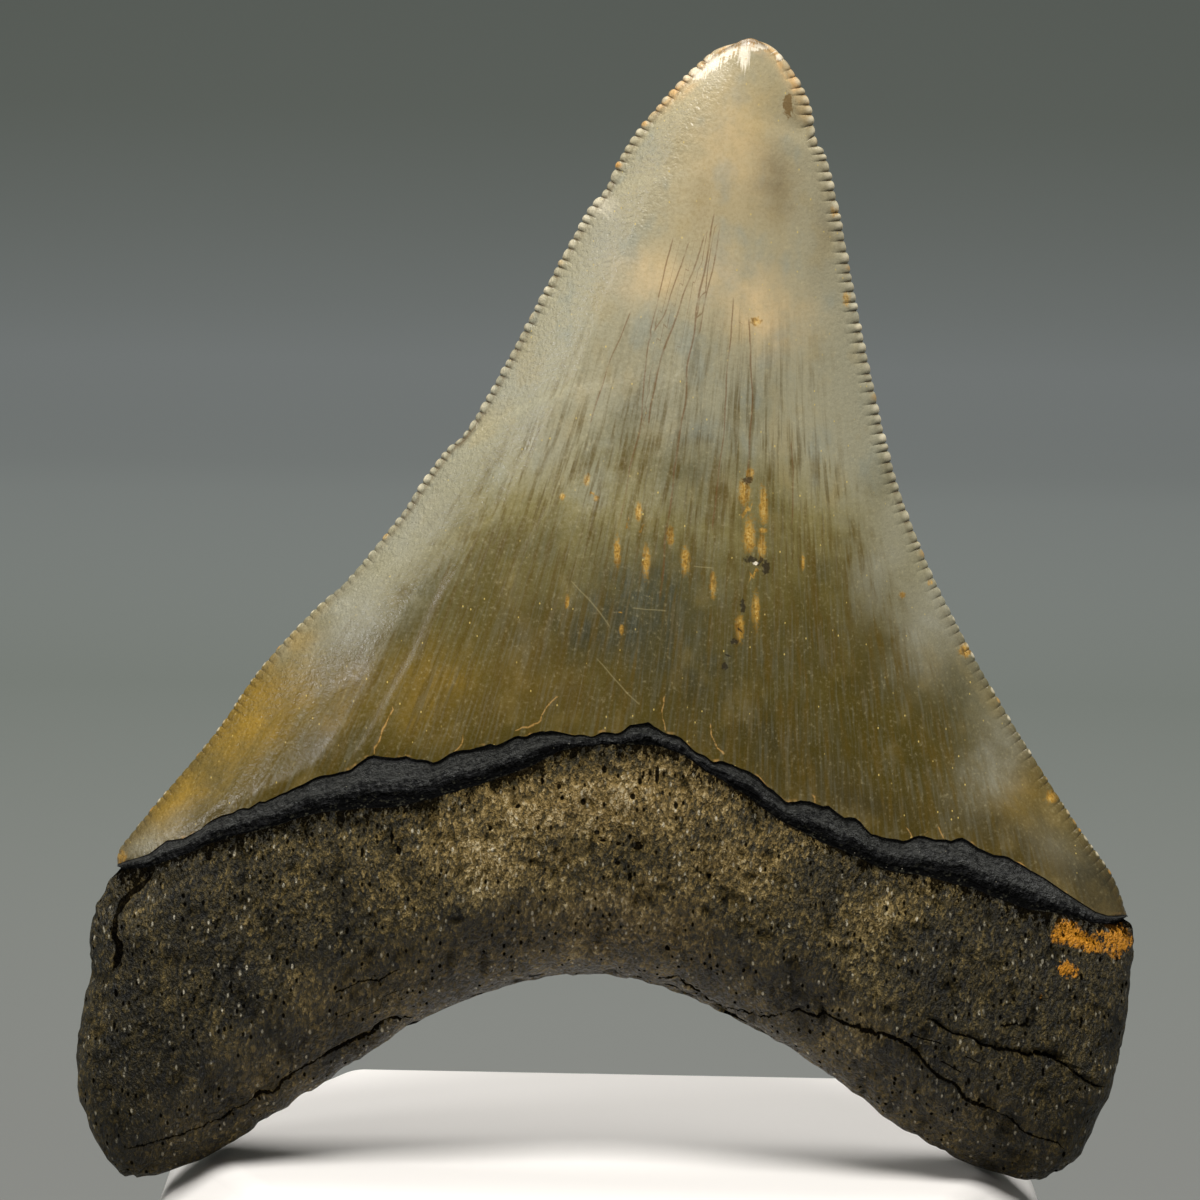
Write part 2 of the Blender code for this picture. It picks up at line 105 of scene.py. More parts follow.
# Borders of the collar on the front, in photo pixels between the corners of the crown
ROOT_TOP_PIXELS = (
    (156, 862), (187, 850), (214, 839), (233, 833), (271, 824), (310, 812), (338, 806), (367, 803),
    (398, 802), (436, 793), (475, 782), (513, 769), (539, 759), (559, 748), (577, 742), (602, 740),
    (635, 741), (658, 742), (679, 750), (704, 765), (738, 786), (776, 813), (815, 834), (853, 851),
    (891, 866), (920, 870), (948, 878), (977, 887), (1002, 897), (1034, 906), (1053, 907),
    (1075, 912), (1104, 920),
)  # fmt: skip
ENAMEL_PIXELS = (
    (151, 852), (172, 840), (195, 833), (214, 821), (241, 809), (264, 800), (290, 787), (310, 777),
    (348, 767), (378, 755), (411, 757), (436, 756), (454, 752), (472, 746), (485, 741), (500, 742),
    (518, 732), (539, 728), (564, 727), (577, 731), (615, 729), (630, 723), (648, 718), (658, 724),
    (671, 732), (692, 745), (710, 755), (730, 762), (748, 770), (763, 780), (782, 794), (807, 801),
    (824, 801), (838, 813), (851, 813), (866, 828), (882, 832), (907, 836), (937, 835), (961, 838),
    (985, 848), (1002, 852), (1018, 863), (1036, 871), (1059, 887), (1079, 902), (1100, 914),
)  # fmt: skip

# The same borders on the back, where the enamel reaches lower and the collar is a thin line
BACK_ROOT_TOP = (
    (-43.2, 27.1), (-34.0, 25.6), (-22.0, 26.2), (-10.0, 27.6), (1.0, 28.0), (12.0, 26.6),
    (24.0, 23.9), (35.0, 22.6), (45.7, 24.4),
)  # fmt: skip
BACK_ENAMEL = (
    (-43.2, 27.5), (-34.0, 26.7), (-22.0, 27.4), (-10.0, 28.8), (1.0, 29.2), (12.0, 27.8),
    (24.0, 25.1), (35.0, 23.7), (45.7, 24.8),
)  # fmt: skip

# Height of each face along the middle of the tooth, as rise and millimetres
FRONT_ROOT_HEIGHT = ((0.0, 9.2), (0.25, 11.6), (0.5, 12.6), (0.75, 12.2), (1.0, 11.0), (2.0, 10.2))
FRONT_CROWN_HEIGHT = (
    (2.0, 10.6), (2.15, 9.8), (2.3, 8.7), (2.5, 6.8), (2.7, 4.9), (2.85, 3.6), (3.0, 2.4),
)  # fmt: skip
BACK_ROOT_HEIGHT = ((0.0, 6.4), (0.3, 7.8), (0.6, 7.6), (1.0, 6.1), (2.0, 5.7))
BACK_CROWN_HEIGHT = ((2.0, 6.0), (2.2, 5.1), (2.5, 3.9), (2.8, 2.7), (3.0, 1.9))
HEIGHTS = {
    "front": (FRONT_ROOT_HEIGHT, FRONT_CROWN_HEIGHT),
    "back": (BACK_ROOT_HEIGHT, BACK_CROWN_HEIGHT),
}
LOBE_THINNING = 0.34
LOBE_POWER = 2.2

# Rounding of the root's rim, and how the crown thins to its cutting edges
RIM_WIDTH = 9.0
RIM_POWER = 2.2
NEAREST_POWER = 4.0
CROWN_POWER = {"front": (2.0, 0.8), "back": (4.0, 0.9)}
CROWN_SHARE = ((0.0, 0.0), (0.5, 0.0), (1.0, 0.5), (2.0, 0.72), (2.14, 1.0), (3.0, 1.0))
TIP_ROUNDING = 0.035

# Serrations: each is a rounded ridge across the cutting edge, with a narrow notch on either side
SERRATION_PITCH = 0.9
SERRATION_HEIGHT = ((0.0, 0.12), (0.35, 0.16), (0.5, 0.24), (1.0, 0.26))
SERRATION_JITTER = 0.17
SERRATION_SEED = 7
CREST_LEVEL = 0.62
BEAD_HEIGHT = ((0.0, 0.05), (0.35, 0.07), (0.5, 0.13), (1.0, 0.14))
BEAD_POWER = 0.6
BEAD_REACH = ((0.0, 0.4), (0.35, 0.45), (0.5, 0.7), (1.0, 0.72))
BEAD_SAMPLES = (0.0, 0.07, 0.19, 0.34, 0.5, 0.66, 0.81, 0.93)
BEAD_FADE = 0.8
STRIP_RINGS = (0.09, 0.22, 0.38, 0.56, 0.78)
EDGE_STRIP = 1.9
EDGE_POWER = 0.8
STRIP_START = 0.03
MOST_INSET = 0.3
WORN_TIP = 0.06
WEAR_LAG = 0.3
LEAST_WEAR = 0.3

# Gentle lumps of the root and folds of the crown: height, then how fast they turn along X and Z
ROOT_LUMPS = ((0.30, 0.21, 0.17, 0.4), (0.22, 0.47, -0.31, 1.9), (0.14, 0.86, 0.63, 3.1))
CROWN_FOLDS = ((0.13, 0.33, 0.03, 0.8), (0.07, 0.78, -0.05, 2.2))

# Fineness of the mesh: angles round the root's rim, spacing of columns, and rows
RIM_ANGLES = (0, 6, 12, 19, 27, 36, 46, 57, 67, 76)
FINE_SPACING = 0.23
FINE_REACH = (-14.0, 13.0)
ROOT_SPACING = 0.42
BACK_COARSER = 2
ARCH_ANGLES = tuple(range(0, 91, 6))
FRONT_ROOT_REACH = 21.0
ROOT_ROWS = 80
COLLAR_ROWS = (1.12, 1.25, 1.4, 1.55, 1.7, 1.82, 1.92, 1.96, 2.0)
CROWN_FOOT_ROWS = (2.003, 2.007, 2.012, 2.018, 2.025, 2.033, 2.042)
CROWN_ROWS = 104
CROWN_TOP_ROW = 2.987
COLUMN_STEPS = ((2.0, 1.0), (2.06, 0.72), (2.3, 0.5), (2.55, 0.34), (2.8, 0.2))

# Raggedness of the enamel's lower edge: spacing of its points, then pitch, height and seed of each wave
RAGGED_STEP = 0.2
RAGGEDNESS = ((1.9, 0.20, 61), (0.8, 0.15, 62), (0.4, 0.07, 63))
RAGGED_END = 4.0

CURVE_STEPS = 10
NOISE_CELLS = 256
LEAST_DISTANCE = 1e-6
FAR = 9.0
LINE_REACH = 2.5
LINE_SOFTNESS = (0.08, -0.03)
LEAST_LINE = (0.008, 0.02)
NEARLY_ZERO = 1e-9
CREASE = math.radians(50)


def on_tooth(px, py):
    """The place in the tooth's plane that a pixel of the photograph shows."""
    x, z = (px - PHOTO_MIDDLE) * PIXEL, (PHOTO_MIDDLE - py) * PIXEL
    turned_x = x * math.cos(ROLL) - z * math.sin(ROLL)
    turned_z = x * math.sin(ROLL) + z * math.cos(ROLL)
    return (turned_x + MIDDLE_ON_TOOTH[0], turned_z + MIDDLE_ON_TOOTH[1])


def noise(places, width, height, seed):
    """Smooth random values from -1 to 1 over the plane, in lumps of this width and height."""
    table = np.random.default_rng(seed).uniform(-1, 1, (NOISE_CELLS, NOISE_CELLS))
    at = places / np.array([width, height])
    cell = np.floor(at).astype(int)
    part = at - cell
    part = part * part * (3 - 2 * part)
    i, j = cell[:, 0] % NOISE_CELLS, cell[:, 1] % NOISE_CELLS
    after_i, after_j = (i + 1) % NOISE_CELLS, (j + 1) % NOISE_CELLS
    low = table[i, j] * (1 - part[:, 0]) + table[after_i, j] * part[:, 0]
    high = table[i, after_j] * (1 - part[:, 0]) + table[after_i, after_j] * part[:, 0]
    return low * (1 - part[:, 1]) + high * part[:, 1]


def smooth_curve(points):
    """Closely spaced places on a smooth curve through the points."""
    known = np.array(points, float)
    known = np.vstack([2 * known[0] - known[1], known, 2 * known[-1] - known[-2]])
    knots = np.sqrt(np.maximum(np.linalg.norm(np.diff(known, axis=0), axis=1), NEARLY_ZERO))
    knots = np.concatenate([[0.0], np.cumsum(knots)])
    places = []
    for i in range(len(known) - 3):
        a, b, c, d = known[i : i + 4]
        ta, tb, tc, td = knots[i : i + 4]
        t = np.linspace(tb, tc, CURVE_STEPS, endpoint=False)[:, None]
        ab = ((tb - t) * a + (t - ta) * b) / (tb - ta)
        bc = ((tc - t) * b + (t - tb) * c) / (tc - tb)
        cd = ((td - t) * c + (t - tc) * d) / (td - tc)
        abc = ((tc - t) * ab + (t - ta) * bc) / (tc - ta)
        bcd = ((td - t) * bc + (t - tb) * cd) / (td - tb)
        places.append(((tc - t) * abc + (t - tb) * bcd) / (tc - tb))
    return np.vstack([*places, known[-2]])


def length_share(curve):
    """How far along the curve each of its places is, from 0 to 1."""
    steps = np.linalg.norm(np.diff(curve, axis=0), axis=1)
    total = np.concatenate([[0.0], np.cumsum(steps)])
    return total / total[-1]


def along(curve, share):
    """The places at these shares of the curve's length."""
    known = length_share(curve)
    return np.stack([np.interp(share, known, curve[:, 0]), np.interp(share, known, curve[:, 1])], -1)


def across(curve, share):
    """The places at these shares of the way from the curve's first X to its last."""
    x = curve[0, 0] + (curve[-1, 0] - curve[0, 0]) * share
    return np.stack([x, np.interp(x, curve[:, 0], curve[:, 1])], -1)


def smooth_table(stations, at):
    """A value read from a few stations, with no corners between them."""
    curve = smooth_curve(stations)
    return np.interp(at, curve[:, 0], curve[:, 1])


def between_corners(pixels, left, right):
    """A border across the front from pixels of the photograph, ending at the crown's corners."""
    return np.array([left, *[on_tooth(*pixel) for pixel in pixels], right])


def ragged(border):
    """A border made uneven, dying out towards its two ends."""
    count = round((border[-1, 0] - border[0, 0]) / RAGGED_STEP)
    x = np.linspace(border[0, 0], border[-1, 0], count + 1)
    z = np.interp(x, border[:, 0], border[:, 1])
    places = np.stack([x, np.zeros(len(x))], -1)
    uneven = sum(height * noise(places, pitch, 1.0, seed) for pitch, height, seed in RAGGEDNESS)
    fade = np.clip(np.minimum(x - x[0], x[-1] - x) / RAGGED_END, 0, 1)
    return np.stack([x, z + uneven * fade], -1)


ROOT_SIDES = (smooth_curve(ROOT_LEFT), smooth_curve(ROOT_RIGHT))
COLLAR_SIDES = (
    np.array([ROOT_LEFT[-1], LEFT_EDGE[0]]),
    np.array([ROOT_RIGHT[-1], RIGHT_EDGE[0]]),
)
CROWN_SIDES = (smooth_curve(LEFT_EDGE), smooth_curve(RIGHT_EDGE))
OUTLINE = (
    np.vstack([ROOT_SIDES[0], CROWN_SIDES[0]]),
    np.vstack([ROOT_SIDES[1], CROWN_SIDES[1]]),
)
ARCH_CURVE = smooth_curve(ARCH)
TIP = np.array([LEFT_EDGE[-1], RIGHT_EDGE[-1]])
BORDERS = {
    "front": (
        ARCH_CURVE,
        smooth_curve(between_corners(ROOT_TOP_PIXELS, ROOT_LEFT[-1], ROOT_RIGHT[-1])),
        ragged(between_corners(ENAMEL_PIXELS, LEFT_EDGE[0], RIGHT_EDGE[0])),
        TIP,
    ),
    "back": (ARCH_CURVE, smooth_curve(BACK_ROOT_TOP), smooth_curve(BACK_ENAMEL), TIP),
}
SIDES = (ROOT_SIDES, COLLAR_SIDES, CROWN_SIDES)


def plane_place(face, share, rise):
    """Where a share across and a rise up the tooth lie in its plane."""
    part = min(int(rise), 2)
    up = rise - part
    low, high = BORDERS[face][part], BORDERS[face][part + 1]
    level = (1 - up) * across(low, share) + up * across(high, share)
    ends = np.array([0.0, 1.0])
    level_ends = (1 - up) * across(low, ends) + up * across(high, ends)
    left = along(SIDES[part][0], up) - level_ends[0]
    right = along(SIDES[part][1], up) - level_ends[1]
    return level + (1 - share)[:, None] * left + share[:, None] * right


def nearest_part(curve, places):
    """For each place, the distance to the curve, the curve's nearest stretch, and how far along that."""
    step = np.diff(curve, axis=0)
    gap = places[:, None, :] - curve[:-1]
    reach = np.clip((gap * step).sum(-1) / np.maximum((step**2).sum(-1), NEARLY_ZERO), 0, 1)
    distance = np.linalg.norm(gap - reach[..., None] * step, axis=-1)
    near = distance.argmin(1)
    row = np.arange(len(places))
    return distance[row, near], near, reach[row, near]


def distance_to(curve, places):
    """The distance from each place to the nearest part of the curve."""
    return nearest_part(curve, places)[0]


def rim_rounding(places):
    """The root's rise from its outline, from 0 on the outline to 1 a rim's width inside it."""
    near = sum(
        np.maximum(distance_to(curve, places), LEAST_DISTANCE) ** -NEAREST_POWER
        for curve in (*OUTLINE, ARCH_CURVE)
    )
    inside = np.minimum(near ** (-1 / NEAREST_POWER) / RIM_WIDTH, 1)
    return np.sqrt(1 - (1 - inside) ** RIM_POWER)


def ripple(waves, places):
    """A sum of slow waves over the tooth's plane."""
    x, z = places[:, 0], places[:, 1]
    return sum(h * np.sin(kx * x + kz * z + start) for h, kx, kz, start in waves)


def face_height(face, share, rise, places):
    """How far a face stands out from the plane of the outline."""
    side = np.abs(2 * share - 1)
    crown_power, edge_power = CROWN_POWER[face]
    lens = np.maximum(1 - side**crown_power, 0) ** edge_power
    root_stations, crown_stations = HEIGHTS[face]
    middle = smooth_table(root_stations if rise < 2 else crown_stations, rise)
    crown_share = np.interp(rise, *zip(*CROWN_SHARE))
    rounding = crown_share * lens
    if crown_share < 1:
        rounding = rounding + (1 - crown_share) * rim_rounding(places)
    thinning = 1 - (1 - crown_share) * LOBE_THINNING * side**LOBE_POWER
    tip_start = 3 - TIP_ROUNDING
    tip = math.sqrt(max(1 - (max(rise - tip_start, 0) / TIP_ROUNDING) ** 2, 0))
    relief = (1 - crown_share) * ripple(ROOT_LUMPS, places)
    relief = relief + crown_share * ripple(CROWN_FOLDS, places) * (3 - max(rise, 2))
    return (middle * thinning + relief) * rounding * tip


def root_columns():
    """Shares across the root: close together round its rim and in the middle, even between."""
    left, width = ARCH[0][0], ARCH[-1][0] - ARCH[0][0]
    rim = [RIM_WIDTH * (1 - math.cos(math.radians(a))) / width for a in RIM_ANGLES]
    fine = [(x - left) / width for x in FINE_REACH]
    stretches = (
        (rim[-1], fine[0], ROOT_SPACING),
        (fine[0], fine[1], FINE_SPACING),
        (fine[1], 1 - rim[-1], ROOT_SPACING),
    )
    shares = rim[:-1]
    for start, end, spacing in stretches:
        shares += list(np.linspace(start, end, round((end - start) * width / spacing), endpoint=False))
    return np.array([*shares, *[1 - r for r in reversed(rim)]])


def thinned(columns, keep):
    """Fewer columns with the same spread."""
    count = round((len(columns) - 1) * keep) + 1
    return np.interp(np.linspace(0, len(columns) - 1, count), np.arange(len(columns)), columns)


def crown_columns(rise, columns):
    """Shares across the crown, between the two strips, with fewer columns towards the tip."""
    left, right = along(CROWN_SIDES[0], rise - 2), along(CROWN_SIDES[1], rise - 2)
    start = min((rise - 2) / STRIP_START, 1)
    inset = min(EDGE_STRIP * start / np.linalg.norm(right - left), MOST_INSET)
    keep = [amount for level, amount in COLUMN_STEPS if rise >= level][-1]
    return inset + (1 - 2 * inset) * thinned(columns, keep)


def root_rows():
    """Rises of the rows up the root, close together where the arch rounds into the face."""
    height = FRONT_ROOT_REACH
    arch = [RIM_WIDTH * (1 - math.cos(math.radians(a))) / height for a in ARCH_ANGLES]
    return [*arch, *np.linspace(arch[-1], 1, ROOT_ROWS - len(arch) + 1)[1:]]


# Material slots of the tooth
ENAMEL, COLLAR, ROOT = 0, 1, 2


class ToothMesh:
    """Vertices and faces of the tooth, where both faces share the vertices on the outline.

    Each vertex keeps its share, its rise, how far its serration stands up there, and that serration's tint.
    """

    def __init__(self):
        self.places = []
        self.growth = []
        self.beads = []
        self.fronts = []
        self.faces = []
        self.parts = []
        self.outline = {}

    def add(self, place, depth, growth, bead=(0.0, 0.0)):
        self.places.append((place[0], depth, place[1]))
        self.growth.append(growth)
        self.beads.append(bead)
        self.fronts.append(depth >= 0)
        return len(self.places) - 1

    def on_outline(self, key, place, growth, bead=(0.0, 0.0)):
        if key not in self.outline:
            self.outline[key] = self.add(place, 0.0, growth, bead)
        return self.outline[key]

    def zip_chains(self, low, low_at, high, high_at, part):
        """Fills the band between two chains of vertices with triangles."""
        i = j = 0
        while i < len(low) - 1 or j < len(high) - 1:
            if i == len(low) - 1:
                move_high = True
            elif j == len(high) - 1:
                move_high = False
            else:
                lead = low_at[i + 1] - high_at[j + 1]
                level = abs(lead) <= NEARLY_ZERO
                move_high = low_at[i] < 0.5 if level else lead > 0
            if move_high:
                corners = (low[i], high[j], high[j + 1])
                j += 1
            else:
                corners = (low[i], high[j], low[i + 1])
                i += 1
            if len(set(corners)) == 3:
                self.faces.append(corners)
                self.parts.append(part)

    def row(self, face, shares, rise):
        """One row of vertices across a face."""
        places = plane_place(face, shares, rise)
        sign = 1 if face == "front" else -1
        heights = sign * face_height(face, shares, rise, places)
        row = []
        for k, (place, height) in enumerate(zip(places, heights)):
            at_end = k in (0, len(shares) - 1)
            growth = (float(shares[k]), rise)
            if rise == 0 or (at_end and rise <= 2):
                row.append(self.on_outline((rise, round(float(shares[k]), 6)), place, growth))
            else:
                row.append(self.add(place, height, growth))
        return row

    def body(self, face):
        """The face inside the two strips. It returns the chain that the strips are joined to."""
        fine = root_columns()
        columns = fine if face == "front" else thinned(fine, 1 / BACK_COARSER)
        crown_rises = [*CROWN_FOOT_ROWS]
        crown_rises += list(np.linspace(CROWN_FOOT_ROWS[-1], CROWN_TOP_ROW, CROWN_ROWS + 1)[1:])
        rows = [(0.0, fine)] + [(rise, columns) for rise in (*root_rows()[1:], *COLLAR_ROWS)]
        rows += [(rise, crown_columns(rise, columns)) for rise in crown_rises]
        made = [self.row(face, shares, rise) for rise, shares in rows]
        for low, high, (_, low_at), (rise, high_at) in zip(made, made[1:], rows, rows[1:]):
            part = ROOT if rise <= 1 else COLLAR if rise <= 2 else ENAMEL
            self.zip_chains(low, low_at, high, high_at, part)
        crown = [(row, rise) for row, (rise, _) in zip(made, rows) if rise >= 2]
        top, top_rise = crown[-1]
        chain = [row[0] for row, _ in crown[:-1]] + top + [row[-1] for row, _ in crown[-2::-1]]
        over = 3 - top_rise
        at = [rise - 2 for _, rise in crown[:-1]]
        at += list(np.linspace(1 - over, 1 + over, len(top)))
        at += [2 - (rise - 2) for _, rise in crown[-2::-1]]
        return chain, np.array(at)

    def edge(self, chain, chain_at, face):
        """The serrated strip round the crown, from the left corner over the tip to the right."""
        edge_at, base, outward, wave, tint = serrated_edge()
        chain_places = np.array([self.places[v] for v in chain])
        nearest = nearest_along(chain_places[:, ::2], chain_at, base)
        nearest[[0, -1]] = edge_at[[0, -1]]
        inner = np.stack([np.interp(nearest, chain_at, chain_places[:, k]) for k in range(3)], -1)
        sign = 1 if face == "front" else -1
        rings = [[] for _ in range(len(STRIP_RINGS) + 1)]
        for k in range(len(edge_at)):
            if k in (0, len(edge_at) - 1):
                for ring in rings:
                    ring.append(chain[0] if k == 0 else chain[-1])
                continue
            rise = 2 + min(edge_at[k], 2 - edge_at[k])
            growth = (0.0 if edge_at[k] < 1 else 1.0, rise)
            bead = (wave[k], tint[k])
            height = np.interp(rise - 2, *zip(*SERRATION_HEIGHT))
            crest = base[k] + outward[k] * height * (wave[k] - CREST_LEVEL)
            rings[0].append(self.on_outline(("edge", k), crest, growth, bead))
            length = np.interp(rise - 2, *zip(*BEAD_REACH))
            for ring, reach in zip(rings[1:], STRIP_RINGS):
                fade = max(1 - reach / length, 0) ** BEAD_FADE
                place = crest + (inner[k, ::2] - crest) * reach
                ridge = np.interp(rise - 2, *zip(*BEAD_HEIGHT)) * fade * (wave[k] - CREST_LEVEL)
                depth = inner[k, 1] * reach**EDGE_POWER + sign * ridge
                ring.append(self.add(place, depth, growth, (wave[k] * fade, tint[k])))
        for low, high in zip(rings, rings[1:]):
            self.zip_chains(low, edge_at, high, edge_at, ENAMEL)
        self.zip_chains(rings[-1], nearest, chain, chain_at, ENAMEL)


def nearest_along(chain, chain_at, places):
    """How far along the chain the place nearest to each of these is, never turning back."""
    _, near, reach = nearest_part(chain, places)
    return np.maximum.accumulate(chain_at[near] + reach * (chain_at[near + 1] - chain_at[near]))


def serrated_edge():
    """Closely spaced places over the whole cutting edge, with the rise and fall of its serrations."""
    random = np.random.default_rng(SERRATION_SEED)
    at, places, number = [], [], []
    for curve, start, turn in ((CROWN_SIDES[0], 0, 1), (CROWN_SIDES[1], 2, -1)):
        total = np.linalg.norm(np.diff(curve, axis=0), axis=1).sum()
        count = round(total / SERRATION_PITCH)
        notches = np.arange(count + 1) + random.uniform(-1, 1, count + 1) * SERRATION_JITTER
        notches[[0, -1]] = 0, count
        even = np.array([n + u for n in range(count) for u in BEAD_SAMPLES] + [count])
        share = np.interp(even, np.arange(count + 1), notches) / count
        at.append(start + turn * share)
        places.append(along(curve, share))
        number.append(even)
    at = np.concatenate([at[0], at[1][-2::-1]])
    base = np.concatenate([places[0], places[1][-2::-1]])
    total = np.concatenate([number[0], number[0][-1] + number[1][-1] - number[1][-2::-1]])
    tangent = np.gradient(base, axis=0)
    outward = np.stack([-tangent[:, 1], tangent[:, 0]], -1)
    outward /= np.maximum(np.linalg.norm(outward, axis=1), NEARLY_ZERO)[:, None]
    which = np.floor(total + NEARLY_ZERO).astype(int)
    size = random.uniform(LEAST_WEAR, 1.0, which.max() + 1) ** 0.5
    tints = random.uniform(0, 1, which.max() + 1)
    crest = np.abs(np.sin(np.pi * total)) ** BEAD_POWER
    wear = np.clip(np.abs(1 - at) / WORN_TIP - WEAR_LAG, 0, 1)
    wave = CREST_LEVEL + (crest * size[which] - CREST_LEVEL) * wear
    return at, base, outward, wave, tints[which]


def upright(places):
    """Places on the tooth, as right, towards the front and up it, set leaning on the stand."""
    x, front, up = places.T
    up = up - REST_UP_TOOTH
    y = REST_Y + up * math.sin(LEAN) - front * math.cos(LEAN)
    z = STAND_HEIGHT + REST_GAP + up * math.cos(LEAN) + front * math.sin(LEAN)
    return np.stack([x, y, z], -1) * MM


# Marks on the front of the tooth, in photo pixels

# Holes in the root: middle, then half width and half height
HOLES = (
    (604, 765, 2.6, 3.4), (656, 770, 2.2, 9.0), (639, 776, 2.0, 3.2), (560, 781, 2.0, 2.4),
    (563, 792, 1.8, 2.2), (584, 796, 2.4, 3.6), (632, 791, 2.6, 3.0), (519, 800, 2.4, 2.4),
    (674, 800, 2.2, 3.6), (597, 826, 2.6, 2.4), (493, 822, 2.0, 2.4), (636, 839, 4.8, 4.6),
    (618, 837, 2.4, 1.8), (603, 834, 3.0, 1.4), (629, 870, 2.0, 4.6), (666, 942, 2.6, 3.0),
    (543, 776, 1.6, 3.0), (690, 843, 2.2, 1.6), (707, 868, 2.2, 2.6), (617, 856, 2.4, 2.0),
    (347, 841, 1.8, 1.6), (368, 846, 2.0, 4.0), (396, 832, 1.4, 5.0), (404, 845, 1.6, 4.0),
)  # fmt: skip
HOLE_DEPTH = 0.4
HOLE_SPREAD = 1.6

# Cracks in the root: depth and half width in millimetres, then the line
CRACKS = (
    (0.5, 0.14, ((256, 1093), (283, 1080), (325, 1053), (364, 1034), (398, 1018), (417, 1015))),
    (0.15, 0.05, ((130, 1140), (172, 1135), (214, 1116), (245, 1103), (262, 1098))),
    (0.5, 0.13, ((780, 1003), (814, 1005), (849, 1015), (868, 1024), (891, 1028), (914, 1049),
                 (937, 1072), (964, 1091), (994, 1104))),
    (0.2, 0.06, ((990, 1102), (1013, 1118), (1040, 1131), (1056, 1140))),
    (0.4, 0.11, ((918, 1007), (944, 1024), (983, 1036), (1006, 1041), (1032, 1045), (1059, 1059),
                 (1078, 1074), (1101, 1081))),
    (0.3, 0.07, ((657, 976), (676, 978), (696, 990), (715, 1003), (753, 1015), (776, 1004))),
    (0.2, 0.09, ((992, 1018), (1008, 1016), (1022, 1019))),
    (0.35, 0.3, ((158, 872), (141, 880), (128, 893), (121, 912), (119, 930), (123, 948), (120, 966))),
    (0.2, 0.06, ((340, 985), (362, 977), (386, 970), (402, 960))),
)  # fmt: skip
CRACK_SPREAD = 0.14
LINE_TAPER = 0.06
CRACK_WAVER = ((1.3, 0.3), (0.45, 0.12))
SLIGHT_WAVER = ((3.0, 0.15), (1.2, 0.03))
STAIN_WAVER = ((3.0, 0.8), (1.0, 0.4))
POCKS = (0.75, 1.0, 0.3, 15)
POCK_START = 0.5
POCK_SHADE = 1.3
MOST_SHADE = 0.4

